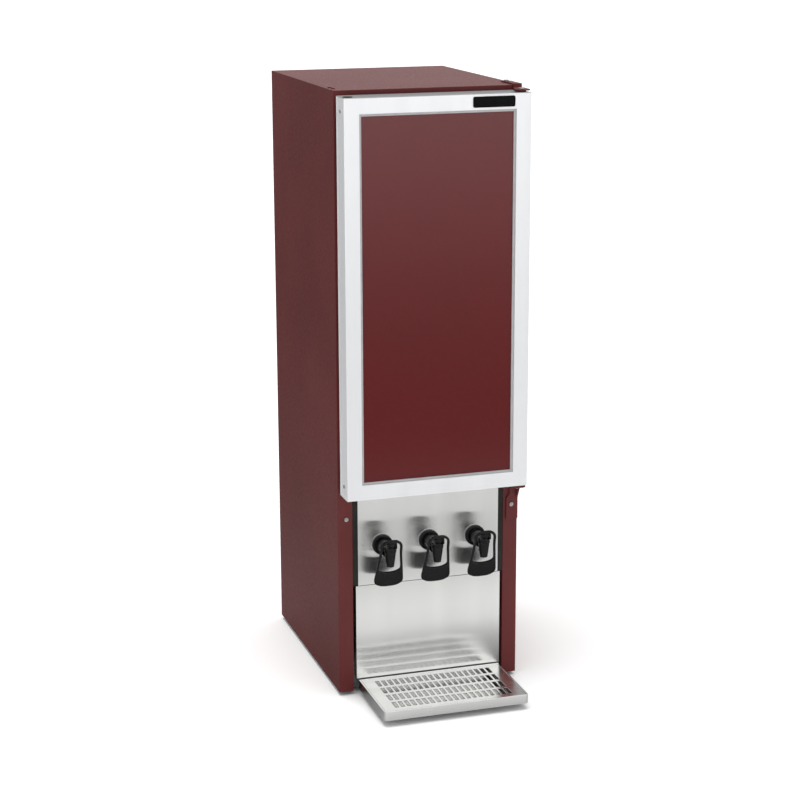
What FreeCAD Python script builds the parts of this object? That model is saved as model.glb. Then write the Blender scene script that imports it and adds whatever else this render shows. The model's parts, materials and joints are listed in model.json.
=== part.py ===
import math
import os

import FreeCAD
import Part
import Sketcher
from FreeCAD import Placement, Rotation, Vector

# A refrigerated dispenser for three bags of wine, in millimetres.
# +X is to the right, +Y to the back and +Z up. The origin is on the floor, halfway between
# the drip tray's front edge and the cabinet's back.

DRIVING = {
    # cabinet
    "cabinet_width": 290,
    "cabinet_depth": 365,
    "cabinet_height": 925,
    "foot_height": 6,
    "foot_radius": 11,
    "foot_inset": 15,
    "front_foot_setback": 56,
    "rear_foot_setback": 322,
    "sheet": 1,
    "column_width": 23.5,
    "column_return": 14,
    "rear_return": 12,
    "corner_bend": 0.8,
    "fascia_height": 22.5,
    "pan_depth": 17,
    "skin_inset": 30,
    "running_gap": 0.3,
    "fit_gap": 0.05,
    # door
    "door_side_gap": 2.5,
    "door_foot_height": 321.7,
    "door_drop": 7.3,
    "door_thickness": 32,
    "gasket_gap": 15.4,
    "stile_face": 23,
    "frame_wall": 1.6,
    "frame_round": 0.8,
    "bead_width": 3.5,
    "bead_setback": 2.2,
    "bead_depth": 2.6,
    "insert_sheet": 1.2,
    "gasket_inset": 11,
    "gasket_width": 13,
    "gasket_base": 3,
    "gasket_waist": 2.4,
    "dyke_inset": 18,
    "dyke_rise": 9,
    "badge_width": 65,
    "badge_height": 16,
    "badge_thickness": 1.2,
    "badge_inset": 25.5,
    "badge_round": 2,
    # hinges
    "hinge_inset": 10.5,
    "hinge_forward": 31,
    "hinge_pin_radius": 3,
    "pin_head_radius": 5,
    "pin_head": 1.6,
    "pin_reach": 12,
    "bush_radius": 5,
    "plug_flange": 1,
    "plug_reach": 4,
    "bush_flange_radius": 7.5,
    "bracket_sheet": 3,
    "bracket_width": 19,
    "bracket_margin": 0.5,
    "top_bracket_sheet": 2,
    "top_bracket_width": 13.5,
    "top_bracket_back": 51,
    "top_arm_half_width": 9.5,
    "top_arm_rise": 2,
    "top_screw_front": 28,
    "top_screw_pitch": 17,
    "screw_line_inset": 8,
    "lower_bracket_drop": 60,
    "lower_shelf_overhang": 9,
    "bracket_step": 5,
    "gusset_drop": 26,
    # openings behind the door
    "mouth_side_inset": 32.5,
    "mouth_top_drop": 32,
    "compartment_floor": 356,
    "breaker_depth": 8,
    "liner_wall": 1.5,
    "compartment_depth": 287,
    "floor_insulation": 26,
    "well_side_inset": 12.5,
    "well_setback": 30,
    "well_depth": 75,
    "well_floor": 200,
    "well_insulation": 20,
    "well_flange": 5,
    "ledge_width": 6,
    "ledge_height": 4,
    # shelves
    "lower_shelf_rise": 178,
    "upper_shelf_drop": 179,
    "shelf_setback": 55,
    "shelf_depth": 228,
    "cross_rod_radius": 2.5,
    "wire_radius": 1.5,
    "shelf_wires": 11,
    # tap and splash panels
    "seam_height": 171,
    "seam_gap": 0.6,
    "trim_width": 8,
    "tap_panel_top": 339,
    "panel_return": 10,
    "splash_side_gap": 4.3,
    "splash_foot": 18.8,
    "trim_depth": 6,
    # taps
    "tap_pitch": 75,
    "tap_height": 234.5,
    "washer_radius": 17.3,
    "washer_thickness": 1,
    "flange_radius": 16,
    "flange_thickness": 5,
    "flange_chamfer": 1.5,
    "barrel_radius": 11,
    "shank_radius": 10,
    "shank_length": 40,
    "spigot_radius": 5,
    "spigot_length": 18,
    "duct_radius": 3.4,
    "spout_forward": 42,
    "spout_top_radius": 9.5,
    "spout_tip_radius": 5.75,
    "bonnet_rise": 9.5,
    "bonnet_edge": 1,
    "spout_drop": 22.5,
    "spout_collar": 5.5,
    "nozzle_radius": 3.6,
    "chamber_radius": 5.5,
    "seat_drop": 8,
    "seal_height": 3.5,
    "seal_lip": 0.5,
    "seal_lip_width": 1.2,
    "nut_radius": 16.5,
    "nut_thickness": 8,
    "pivot_forward": 50,
    "pivot_rise": 13.5,
    "lever_pin_radius": 1.5,
    "ear_inner": 5,
    "ear_outer": 8,
    "ear_radius": 3.6,
    "ear_root": 3,
    "ear_heel": 5.8,
    "ear_toe": 1.1,
    # lever, measured from its pivot in its own tilted plane
    "lever_tilt": 16,
    "lever_thickness": 4,
    "lever_band": 4.1,
    "crown_rise": 8.8,
    "crown_half": 8.5,
    "shoulder_rise": 3,
    "shoulder_half": 16,
    "arm_half": 17.5,
    "arm_drop": 14,
    "paddle_half": 23,
    "paddle_drop": 62,
    "lever_drop": 73.5,
    "paddle_top_drop": 48,
    "paddle_edge": 6,
    "toe_round": 1.2,
    "toe_wide": 13.8,
    "toe_narrow": 6.9,
    "window_round": 1.5,
    "window_bow": 0.8,
    "sill_wide": 9.6,
    "sill_narrow": 3.5,
    "lug_gap": 0.4,
    "lug_top_drop": 2.4,
    # valve stem, pinned to the lever's two tines
    "stem_radius": 2,
    "stem_play": 0.12,
    "stem_plug_radius": 4.9,
    "stem_plug_height": 3.2,
    "eye_drop": 0.92,
    "eye_radius": 2.2,
    "eye_half_width": 1.7,
    "trunnion_radius": 1,
    "trunnion_gap": 0.4,
    "tine_gap": 0.2,
    "fork_gap": 0.9,
    # drip tray and grille
    "tray_reach": 138,
    "tray_side_gap": 6.5,
    "tray_gap": 3,
    "tray_lift": 4,
    "tray_height": 14.8,
    "tray_wall": 1.2,
    "tray_corner": 4.5,
    "rim_width": 3,
    "tongue_inset": 35,
    "tongue_half_width": 10,
    "tongue_length": 64,
    "guide_length": 46,
    "guide_wall": 3,
    "grille_sheet": 1.2,
    "grille_leg_inset": 4,
    "slot_width": 6.4,
    "slot_length": 22.6,
    "slot_pitch": 9.5,
    "row_pitch": 29,
    "slot_margin": 14,
    "slot_rows": 4,
    # screws
    "screw_radius": 2,
    "screw_head_radius": 3.6,
    "screw_head": 1.8,
    "screw_length": 8,
    "flange_screw_radius": 5,
    "flange_screw_head": 3,
    "column_screw_inset": 13.5,
    "column_screw_drop": 42.7,
    "base_screw_front": 99,
    "base_screw_middle": 223,
    "base_screw_rear": 290,
    "door_screw_head_radius": 3,
    "door_screw_head": 1.4,
    "door_screw_inset": 19.3,
    # cooling
    "evaporator_half_width": 90,
    "evaporator_height": 150,
    "evaporator_standoff": 6.5,
    "evaporator_sheet": 1.5,
    "stud_inset": 12,
    "stud_half": 4,
    "channel_inset": 20,
    "channel_half": 4,
    "channels": 5,
    "thermostat_setback": 100,
    "thermostat_drop": 41,
    "thermostat_width": 60,
    "thermostat_height": 46,
    "thermostat_depth": 24,
    "thermostat_round": 4,
    "knob_radius": 15,
    "knob_depth": 12,
    "knob_skirt": 3,
    "knob_grip_half": 2,
    "knob_shaft_radius": 3,
    "compressor_radius": 62,
    "compressor_height": 132,
    "compressor_setback": 245,
    "shell_foot_edge": 4,
    "dome_rise": 40,
    "dome_shoulder": 12,
    "dome_shoulder_drop": 16,
    "dome_seam": 1,
    "stub_radius": 3.5,
    "stub_rise": 22,
    "stub_root": 20,
    "stub_aside": 21.7,
    "stub_behind": 24.8,
    "grommet_height": 14,
    "grommet_radius": 10,
    "base_plate_half_width": 86,
    "base_plate_half_depth": 52,
    "base_plate": 3,
    "terminal_width": 48,
    "terminal_height": 58,
    "terminal_depth": 28,
    "terminal_rise": 40,
    "condenser_side_inset": 47,
    "condenser_foot": 100,
    "condenser_runs": 14,
    "condenser_head_drop": 84,
    "condenser_tube_radius": 2.5,
    "condenser_wire": 1.4,
    "condenser_wires": 14,
    "condenser_wire_inset": 4.5,
    "condenser_wire_overhang": 12,
    "condenser_clip": 6,
    "condenser_setback": 349,
    "crossbar_height": 50,
    "gland_radius": 7,
    "gland_flange_radius": 10,
    "gland_flange": 1.2,
    "gland_reach": 9,
    "gland_neck": 1.5,
    "gland_clearance": 2,
    "cord_hole_radius": 3.5,
    "gland_inset": 55,
    "drier_inset": 33,
    "drier_setback": 60,
    "drier_radius": 9,
    "drier_foot": 30,
    "drier_height": 72,
    "drier_stub_radius": 2.5,
    "drier_stub": 18,
}

ORIGIN_PLANES = {"plan": "XY_Plane", "front": "XZ_Plane", "side": "YZ_Plane"}
TAPS = {1: -1, 2: 0, 3: 1}
EPSILON = 0.01
# How far along each axis a point lies that is one away at 45 degrees.
DIAGONAL = 0.7
# Sides of the polygons that stand for small round pieces and holes, by how much of them shows.
SMALL, MEDIUM, LARGE = 8, 16, 24

doc = FreeCAD.newDocument("wine_dispenser")
sheet = doc.addObject("Spreadsheet::Sheet", "Sizes")
for row, (alias, number) in enumerate(DRIVING.items(), 1):
    sheet.set(f"A{row}", alias)
    sheet.set(f"B{row}", str(number))
    sheet.setAlias(f"B{row}", alias)
doc.recompute()
nodes = {}


# ---------------------------------------------------------------- sizes and expressions

class Size:
    """A size worked out from the sheet: its number, and the expression that ties it to the cells."""

    def __init__(self, number, text):
        self.number = number
        self.text = text

    def __add__(self, other):
        other = as_size(other)
        return Size(self.number + other.number, f"({self.text} + {other.text})")

    def __sub__(self, other):
        other = as_size(other)
        return Size(self.number - other.number, f"({self.text} - {other.text})")

    def __mul__(self, other):
        other = as_size(other)
        return Size(self.number * other.number, f"({self.text} * {other.text})")

    def __truediv__(self, other):
        other = as_size(other)
        return Size(self.number / other.number, f"({self.text} / {other.text})")

    def __radd__(self, other):
        return as_size(other) + self

    def __rsub__(self, other):
        return as_size(other) - self

    def __rmul__(self, other):
        return as_size(other) * self

    def __neg__(self):
        return Size(-self.number, f"(0 - {self.text})")

    def __lt__(self, other):
        return self.number < as_size(other).number


def as_size(value):
    return value if isinstance(value, Size) else Size(value, f"({value})")


def bind(thing, name, value):
    thing.setExpression(name, as_size(value).text)


class Cells:
    """The sheet's cells by alias."""


S = Cells()
for alias in DRIVING:
    setattr(S, alias, Size(float(sheet.get(alias)), f"Sizes.{alias}"))


# ---------------------------------------------------------------- sketches and features

def keep(name, thing):
    """Name a finished sub-part; its label names its file."""
    thing.Label = name
    nodes[name] = thing
    return thing


def body(name):
    return keep(name, doc.addObject("PartDesign::Body", name))


def rect(u0, v0, u1, v1):
    return [(u0, v0), (u1, v0), (u1, v1), (u0, v1)]


def disc(u, v, radius):
    return {"centre": (u, v), "radius": radius}


def ring(u, v, radius, sides=SMALL):
    """A small round hole or pin as a regular polygon, whose corners lie on the circle."""
    corners = []
    for step in range(sides):
        angle = 2 * math.pi * step / sides
        corners.append((u + radius * round(math.cos(angle), 6), v + radius * round(math.sin(angle), 6)))
    return corners


def around(radius, sides=SMALL):
    """The corner radius of a ring whose flats clear a round of the given radius."""
    return radius / round(math.cos(math.pi / sides), 6)


def tie(sketch, kind, element, point, value):
    value = as_size(value)
    if kind == "Radius":
        index = sketch.addConstraint(Sketcher.Constraint(kind, element, value.number))
    else:
        index = sketch.addConstraint(Sketcher.Constraint(kind, -1, 1, element, point, value.number))
    sketch.setExpression(f"Constraints[{index}]", value.text)


def draw(sketch, loop):
    """Draw a closed loop, a disc or a list of corners, with every corner tied to the sheet."""
    first = sketch.GeometryCount
    if isinstance(loop, dict):
        u, v = (as_size(x) for x in loop["centre"])
        radius = as_size(loop["radius"])
        sketch.addGeometry(Part.Circle(Vector(u.number, v.number, 0), Vector(0, 0, 1), radius.number))
        tie(sketch, "DistanceX", first, 3, u)
        tie(sketch, "DistanceY", first, 3, v)
        tie(sketch, "Radius", first, 3, radius)
        return
    corners = [Vector(as_size(u).number, as_size(v).number, 0) for u, v in loop]
    count = len(corners)
    for i in range(count):
        sketch.addGeometry(Part.LineSegment(corners[i], corners[(i + 1) % count]))
    for i in range(count):
        sketch.addConstraint(Sketcher.Constraint("Coincident", first + i, 2, first + (i + 1) % count, 1))
    for i, (u, v) in enumerate(loop):
        tie(sketch, "DistanceX", first + i, 1, u)
        tie(sketch, "DistanceY", first + i, 1, v)


def sketch_on(part, plane, level, loops, shift=0, tilt=None):
    """A sketch on one of the body's own planes, moved to a level along +X, +Y or +Z."""
    base = next(f for f in part.Origin.OriginFeatures if f.Role == ORIGIN_PLANES[plane])
    sketch = part.newObject("Sketcher::SketchObject", "sketch")
    sketch.AttachmentSupport = [(base, "")]
    sketch.MapMode = "FlatFace"
    if tilt is not None:
        sketch.AttachmentOffset = Placement(Vector(), Rotation(Vector(1, 0, 0), tilt.number))
        bind(sketch, "AttachmentOffset.Rotation.Angle", tilt)
    bind(sketch, "AttachmentOffset.Base.x", shift)
    bind(sketch, "AttachmentOffset.Base.z", -as_size(level) if plane == "front" else level)
    for loop in loops:
        draw(sketch, loop)
    return sketch


def pad(part, plane, loops, low, high):
    sketch = sketch_on(part, plane, high if plane == "front" else low, loops)
    feature = part.newObject("PartDesign::Pad", "pad")
    feature.Profile = sketch
    bind(feature, "Length", high - as_size(low))
    return feature


def check_cut(part, before):
    doc.recompute()
    if part.Shape.Volume > before - EPSILON:
        raise RuntimeError(f"{part.Label}: a cut takes nothing away")


def cut(part, plane, loops, low, high):
    """Cut the loops through the body between two levels, and check that material went."""
    doc.recompute()
    before = part.Shape.Volume
    sketch = sketch_on(part, plane, low if plane == "front" else high, loops)
    feature = part.newObject("PartDesign::Pocket", "pocket")
    feature.Profile = sketch
    bind(feature, "Length", high - as_size(low))
    check_cut(part, before)
    return feature


def bevel(part, level, across, along):
    """Slope the end of an upright prism, across from its sides and along its height."""
    doc.recompute()
    tip = part.Tip
    end = as_size(level).number
    names = [f"Edge{i}" for i, edge in enumerate(tip.Shape.Edges, 1)
             if all(abs(vertex.Point.z - end) < EPSILON for vertex in edge.Vertexes)]
    feature = part.newObject("PartDesign::Chamfer", "bevel")
    feature.Base = (tip, names)
    feature.ChamferType = "Two distances"
    bind(feature, "Size", along)
    bind(feature, "Size2", across)
    check_cut(part, tip.Shape.Volume)


def edges_along(direction, **places):
    """Pick straight edges parallel to one axis, at the given x, y or z."""
    def picks(edge):
        if edge.Curve.TypeId != "Part::GeomLine" or len(edge.Vertexes) != 2:
            return False
        ends = [vertex.Point for vertex in edge.Vertexes]
        run = ends[1] - ends[0]
        if abs(abs(getattr(run, direction)) - run.Length) > EPSILON:
            return False
        return all(min(abs(getattr(ends[0], key) - as_size(p).number) for p in value) < EPSILON
                   for key, value in places.items())
    return picks


def round_edges(part, radius, picks):
    doc.recompute()
    tip = part.Tip
    names = [f"Edge{i}" for i, edge in enumerate(tip.Shape.Edges, 1) if picks(edge)]
    if not names:
        raise RuntimeError(f"{part.Label}: no edge to round")
    feature = part.newObject("PartDesign::Fillet", "rounding")
    feature.Base = (tip, names)
    bind(feature, "Radius", radius)
    return feature


def place(thing, x=0, y=0, z=0):
    bind(thing, "Placement.Base.x", x)
    bind(thing, "Placement.Base.y", y)
    bind(thing, "Placement.Base.z", z)


def block(low, high):
    box = doc.addObject("Part::Box", "block")
    for name, a, b in zip(("Length", "Width", "Height"), low, high):
        bind(box, name, b - as_size(a))
    place(box, *low)
    return box


TURNS = {"x": Rotation(Vector(0, 1, 0), 90), "y": Rotation(Vector(1, 0, 0), -90), "z": Rotation()}


def rod(axis, start, radius, length, sides=0):
    """A cylinder, or a prism with the given sides, that runs from start towards +X, +Y or +Z."""
    bar = doc.addObject("Part::Prism" if sides else "Part::Cylinder", "rod")
    if sides:
        bar.Polygon = sides
    bind(bar, "Circumradius" if sides else "Radius", radius)
    bind(bar, "Height", length)
    bar.Placement = Placement(Vector(), TURNS[axis])
    place(bar, *start)
    return bar


def fuse(pieces):
    joined = doc.addObject("Part::MultiFuse", "fuse")
    joined.Shapes = pieces
    return joined


def take(base, tool):
    rest = doc.addObject("Part::Cut", "cut")
    rest.Base = base
    rest.Tool = tool
    return rest


def group(name, pieces):
    """Identical loose pieces that share one node."""
    together = doc.addObject("Part::Compound", name)
    together.Links = pieces
    return keep(name, together)


def mirrored(points):
    """Close an outline from the points of its right half, listed from top to bottom."""
    return list(points) + [(-u, v) for u, v in reversed(points)]


def span(hand, near, far):
    """The low and high x of a piece between two distances from the centre, on one hand."""
    return (near, far) if hand > 0 else (-as_size(far), -as_size(near))


# ---------------------------------------------------------------- shared places

FRONT = (S.tray_reach - S.cabinet_depth) / 2
BACK = (S.tray_reach + S.cabinet_depth) / 2
HALF = S.cabinet_width / 2
INSIDE = HALF - S.sheet
UNDERSIDE = S.foot_height
TOP = S.foot_height + S.cabinet_height
COLUMN_EDGE = HALF - S.column_width
MOUTH_HALF = HALF - S.mouth_side_inset
WELL_HALF = MOUTH_HALF - S.well_side_inset
TAP_PANEL_HALF = COLUMN_EDGE - S.trim_width
SPLASH_HALF = COLUMN_EDGE - S.splash_side_gap
TRAY_HALF = COLUMN_EDGE - S.tray_side_gap
TONGUE_X = TRAY_HALF - S.tongue_inset
GLAND_X = HALF - S.gland_inset
COLUMN_BACK = FRONT + S.column_return
FASCIA_FOOT = TOP - S.fascia_height
SCREW_LINE = HALF - S.screw_line_inset
DOOR_HALF = HALF - S.door_side_gap
DOOR_TOP = TOP - S.door_drop
DOOR_FOOT = UNDERSIDE + S.door_foot_height
DOOR_BACK = FRONT - S.gasket_gap
DOOR_FACE = DOOR_BACK - S.door_thickness
ARM_FOOT = DOOR_TOP + S.top_arm_rise
HINGE_X = DOOR_HALF - S.hinge_inset
HINGE_Y = FRONT - S.hinge_forward
SEAM = UNDERSIDE + S.seam_height
PANEL_TOP = UNDERSIDE + S.tap_panel_top
TAP_Z = UNDERSIDE + S.tap_height
MOUTH_TOP = TOP - S.mouth_top_drop
FLOOR = UNDERSIDE + S.compartment_floor
LINER_FRONT = FRONT + S.breaker_depth
LINER_BACK = LINER_FRONT + S.compartment_depth
LOWER_SHELF = FLOOR + S.lower_shelf_rise
UPPER_SHELF = MOUTH_TOP - S.upper_shelf_drop
COLUMN_SCREWS = {-1: HALF - S.column_screw_inset, 1: HALF - S.screw_line_inset - S.bracket_sheet}
COLUMN_SCREW_Z = DOOR_FOOT - S.column_screw_drop
BASE_SCREW_X = INSIDE - S.flange_screw_radius - S.sheet
MACHINE_TOP = FLOOR - S.liner_wall - S.floor_insulation
WELL_FRONT = FRONT + S.well_setback
WELL_BACK = WELL_FRONT + S.well_depth
WELL_FLOOR = UNDERSIDE + S.well_floor
SKIN = BACK - S.skin_inset
TRAY_FOOT = UNDERSIDE + S.tray_lift
TRAY_TOP = TRAY_FOOT + S.tray_height
TRAY_BACK = FRONT - S.tray_gap
TRAY_FRONT = FRONT - S.tray_reach
PAN_FLOOR = UNDERSIDE + S.sheet


# ---------------------------------------------------------------- cabinet shell

def side_panel(name, hand):
    """One bent sheet: the side, the front column with its inward return, and the rear return."""
    part = body(name)
    outer = HALF * hand
    inner = INSIDE * hand
    edge = COLUMN_EDGE * hand
    edge_inner = (COLUMN_EDGE + S.sheet) * hand
    tail = (HALF - S.rear_return) * hand
    profile = [(outer, FRONT), (outer, BACK), (tail, BACK), (tail, BACK - S.sheet),
               (inner, BACK - S.sheet), (inner, FRONT + S.sheet), (edge_inner, FRONT + S.sheet),
               (edge_inner, COLUMN_BACK), (edge, COLUMN_BACK), (edge, FRONT)]
    pad(part, "plan", [profile], UNDERSIDE, TOP - S.sheet)
    round_edges(part, S.corner_bend, edges_along("z", x=[outer, edge], y=[FRONT]))
    hole = ring(COLUMN_SCREWS[hand] * hand, COLUMN_SCREW_Z, S.screw_radius)
    cut(part, "front", [hole], FRONT, FRONT + S.sheet)


def top_panel():
    part = body("top_panel")
    pad(part, "plan", [rect(-HALF, FRONT, HALF, BACK)], TOP - S.sheet, TOP)
    fascia = rect(-COLUMN_EDGE, FASCIA_FOOT, COLUMN_EDGE, TOP - S.sheet)
    pad(part, "front", [fascia], FRONT, FRONT + S.sheet)
    lip = HALF - S.rear_return
    pad(part, "front", [rect(-lip, TOP - S.rear_return, lip, TOP - S.sheet)], BACK - S.sheet, BACK)
    round_edges(part, S.corner_bend, edges_along("x", y=[FRONT], z=[TOP]))
    cut(part, "plan", top_screw_holes(), TOP - S.sheet, TOP)


def top_screw_places():
    first = FRONT + S.top_screw_front
    return [first, first + S.top_screw_pitch]


def top_screw_holes():
    return [ring(SCREW_LINE * hand, y, S.screw_radius) for hand in (-1, 1) for y in top_screw_places()]


def base_screw_places():
    setbacks = (S.base_screw_front, S.base_screw_middle, S.base_screw_rear)
    return [(BASE_SCREW_X * hand, FRONT + setback) for hand in (-1, 1) for setback in setbacks]


def base_pan():
    """A folded pan between the side panels, with two tunnels that take the drip tray's tongues."""
    part = body("base_pan")
    wall = S.sheet
    tray = rect(-INSIDE, COLUMN_BACK, INSIDE, BACK - wall)
    pad(part, "plan", [tray], UNDERSIDE, UNDERSIDE + S.pan_depth)
    hollow = rect(-(INSIDE - wall), COLUMN_BACK + wall, INSIDE - wall, BACK - wall * 2)
    cut(part, "plan", [hollow], PAN_FLOOR, UNDERSIDE + S.pan_depth)
    tunnel_foot = TRAY_FOOT - S.running_gap
    tunnel_top = TRAY_FOOT + S.tray_wall + S.running_gap
    mouths = []
    guides = []
    for hand in (-1, 1):
        middle = TONGUE_X * hand
        half = S.tongue_half_width + S.running_gap
        mouths.append(rect(middle - half, tunnel_foot, middle + half, tunnel_top))
        guides.append(rect(middle - half - S.guide_wall, PAN_FLOOR,
                           middle + half + S.guide_wall, tunnel_top + S.guide_wall / 2))
    pad(part, "front", guides, COLUMN_BACK + wall, COLUMN_BACK + S.guide_length)
    cut(part, "front", mouths, COLUMN_BACK, COLUMN_BACK + S.guide_length)
    cut(part, "plan", [ring(x, y, S.screw_radius) for x, y in base_screw_places()], UNDERSIDE, PAN_FLOOR)


def rear_panel():
    """The skin behind the insulation, with flanges that turn back along the side panels."""
    part = body("rear_panel")
    flange = SKIN + S.rear_return
    profile = [(-INSIDE, SKIN), (INSIDE, SKIN), (INSIDE, flange), (INSIDE - S.sheet, flange),
               (INSIDE - S.sheet, SKIN + S.sheet), (-(INSIDE - S.sheet), SKIN + S.sheet),
               (-(INSIDE - S.sheet), flange), (-INSIDE, flange)]
    pad(part, "plan", [profile], MACHINE_TOP, TOP - S.sheet)


def rear_crossbar():
    """The low bar across the back, which stiffens the frame and holds the cable gland."""
    part = body("rear_crossbar")
    back = BACK - S.sheet * 2
    low = PAN_FLOOR
    high = low + S.crossbar_height
    profile = [(back - S.sheet, low), (back, low), (back, high), (back - S.rear_return, high),
               (back - S.rear_return, high - S.sheet), (back - S.sheet, high - S.sheet)]
    pad(part, "side", [profile], -(INSIDE - S.sheet), INSIDE - S.sheet)
    cut(part, "front", [ring(-GLAND_X, gland_height(), S.gland_radius, MEDIUM)], back - S.sheet, back)


def gland_height():
    return PAN_FLOOR + S.pan_depth + S.gland_flange_radius + S.gland_clearance


def cable_gland():
    """An empty strain relief for the mains lead, clamped on both sides of the crossbar."""
    part = body("cable_gland")
    place(part, x=-GLAND_X, y=BACK - S.sheet * 2, z=gland_height())
    pad(part, "front", [ring(0, 0, S.gland_radius, MEDIUM)], -S.gland_reach, 0)
    pad(part, "front", [ring(0, 0, S.gland_flange_radius, MEDIUM)], 0, S.gland_flange)
    neck = ring(0, 0, S.cord_hole_radius + S.gland_neck, MEDIUM)
    end = S.gland_flange + S.gland_neck / 3
    pad(part, "front", [neck], S.gland_flange, end)
    cut(part, "front", [disc(0, 0, S.cord_hole_radius)], -S.gland_reach, end)


def feet():
    places = [(x, y) for x in (-(HALF - S.foot_inset), HALF - S.foot_inset)
              for y in (FRONT + S.front_foot_setback, FRONT + S.rear_foot_setback)]
    group("feet", [rod("z", (x, y, 0), S.foot_radius, S.foot_height, MEDIUM) for x, y in places])


def screw(axis, start, head_radius, head, length, towards=1):
    """A screw whose head stands outside start and whose shank runs inwards along the axis."""
    at = dict(zip("xyz", start))
    outer = dict(at)
    inner = dict(at)
    if towards > 0:
        outer[axis] = at[axis] - as_size(head)
    else:
        inner[axis] = at[axis] - as_size(length)
    return fuse([rod(axis, tuple(outer.values()), head_radius, head, SMALL),
                 rod(axis, tuple(inner.values()), S.screw_radius, length, SMALL)])


def cabinet_screws():
    """Flange screws under the base pan, one screw on each column and two in the top bracket."""
    pieces = [screw("z", (x, y, UNDERSIDE), S.flange_screw_radius, S.flange_screw_head, S.screw_length)
              for x, y in base_screw_places()]
    for x, y in ((-COLUMN_SCREWS[-1], FRONT), (COLUMN_SCREWS[1], FRONT - S.bracket_sheet)):
        pieces.append(screw("y", (x, y, COLUMN_SCREW_Z), S.screw_head_radius, S.screw_head, S.screw_length))
    for y in top_screw_places():
        at = (SCREW_LINE, y, TOP + S.top_bracket_sheet)
        pieces.append(screw("z", at, S.screw_head_radius, S.screw_head, S.screw_length, towards=-1))
    group("cabinet_screws", pieces)


def hole_plugs():
    """Plugs in the top's screw holes on the hand that the door doesn't use."""
    group("hole_plugs", [screw("z", (-SCREW_LINE, y, TOP), S.screw_head_radius, S.plug_flange,
                               S.plug_reach, towards=-1) for y in top_screw_places()])


# ---------------------------------------------------------------- hinges

def top_hinge_bracket():
    """A plate screwed to the top, stepped down in front to an arm that holds the upper pin."""
    part = body("top_hinge_bracket")
    sheet = S.top_bracket_sheet
    outer = HALF - S.bracket_margin
    inner = outer - S.top_bracket_width
    half = S.top_arm_half_width
    nose = HINGE_Y - half
    pad(part, "plan", [rect(inner, FRONT - sheet, outer, FRONT + S.top_bracket_back)], TOP, TOP + sheet)
    pad(part, "plan", [rect(inner, FRONT - sheet, outer, FRONT)], ARM_FOOT, TOP)
    arm = [(inner, FRONT), (outer, FRONT), (outer, nose), (HINGE_X - half, nose), (HINGE_X - half, HINGE_Y)]
    pad(part, "plan", [arm], ARM_FOOT, ARM_FOOT + sheet)
    round_edges(part, half * 2 / 3, edges_along("z", x=[outer, HINGE_X - half], y=[nose]))
    cut(part, "plan", [ring(HINGE_X, HINGE_Y, S.hinge_pin_radius, MEDIUM)], ARM_FOOT, ARM_FOOT + sheet)
    holes = [ring(SCREW_LINE, y, S.screw_radius) for y in top_screw_places()]
    cut(part, "plan", holes, TOP, TOP + sheet)


def lower_hinge_bracket():
    """A plate on the column, a shelf under the door's corner and a gusset between them."""
    part = body("lower_hinge_bracket")
    shelf_top = DOOR_FOOT - S.bracket_sheet - S.running_gap
    shelf_foot = shelf_top - S.bracket_sheet
    inner = HALF - S.bracket_width
    step = inner + S.bracket_step
    plate_foot = shelf_foot - S.lower_bracket_drop
    waist = shelf_foot - S.lower_bracket_drop / 3
    plate_face = FRONT - S.bracket_sheet
    plate = [(inner, plate_foot), (HALF, plate_foot), (HALF, shelf_top), (step, shelf_top),
             (step, waist), (inner, waist - S.bracket_step)]
    pad(part, "front", [plate], plate_face, FRONT)
    left = HINGE_X - S.lower_shelf_overhang
    nose = HINGE_Y - S.lower_shelf_overhang
    pad(part, "plan", [rect(left, nose, HALF, FRONT)], shelf_foot, shelf_top)
    round_edges(part, S.lower_shelf_overhang * 2 / 3, edges_along("z", x=[HALF, left], y=[nose]))
    gusset = [(plate_face, shelf_foot - S.gusset_drop), (plate_face, shelf_foot),
              (HINGE_Y, shelf_foot), (FRONT - S.gusset_drop / 2, shelf_foot - S.gusset_drop / 4)]
    pad(part, "side", [gusset], HALF - S.bracket_sheet, HALF)
    cut(part, "plan", [ring(HINGE_X, HINGE_Y, S.hinge_pin_radius, MEDIUM)], shelf_foot, shelf_top)
    cut(part, "front", [ring(COLUMN_SCREWS[1], COLUMN_SCREW_Z, S.screw_radius)], plate_face, FRONT)


def hinge_pins():
    shelf_foot = DOOR_FOOT - S.bracket_sheet * 2 - S.running_gap
    arm_top = ARM_FOOT + S.top_bracket_sheet
    pins = []
    for low, high, head in ((DOOR_TOP - S.pin_reach, arm_top, arm_top),
                            (shelf_foot, DOOR_FOOT + S.pin_reach, shelf_foot - S.pin_head)):
        shank = rod("z", (HINGE_X, HINGE_Y, low), S.hinge_pin_radius, high - low, MEDIUM)
        cap = rod("z", (HINGE_X, HINGE_Y, head), S.pin_head_radius, S.pin_head, MEDIUM)
        pins.append(fuse([shank, cap]))
    group("hinge_pins", pins)


def door_bushes():
    """Flanged bushes in the door's top and foot, which the pins turn in."""
    ceiling = ARM_FOOT - S.running_gap
    bore_radius = around(S.hinge_pin_radius + S.fit_gap, MEDIUM)
    shelf_top = DOOR_FOOT - S.bracket_sheet - S.running_gap
    bushes = []
    for low, high, barrel in ((DOOR_TOP, ceiling, DOOR_TOP - S.pin_reach),
                              (shelf_top + S.running_gap, DOOR_FOOT, DOOR_FOOT)):
        flange = rod("z", (HINGE_X, HINGE_Y, low), S.bush_flange_radius, high - low, MEDIUM)
        sleeve = rod("z", (HINGE_X, HINGE_Y, barrel), S.bush_radius, S.pin_reach, MEDIUM)
        bore = rod("z", (HINGE_X, HINGE_Y, low - S.pin_reach * 2), bore_radius, S.pin_reach * 5, MEDIUM)
        bushes.append(take(fuse([flange, sleeve]), bore))
    group("door_bushes", bushes)


# ---------------------------------------------------------------- door

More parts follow.
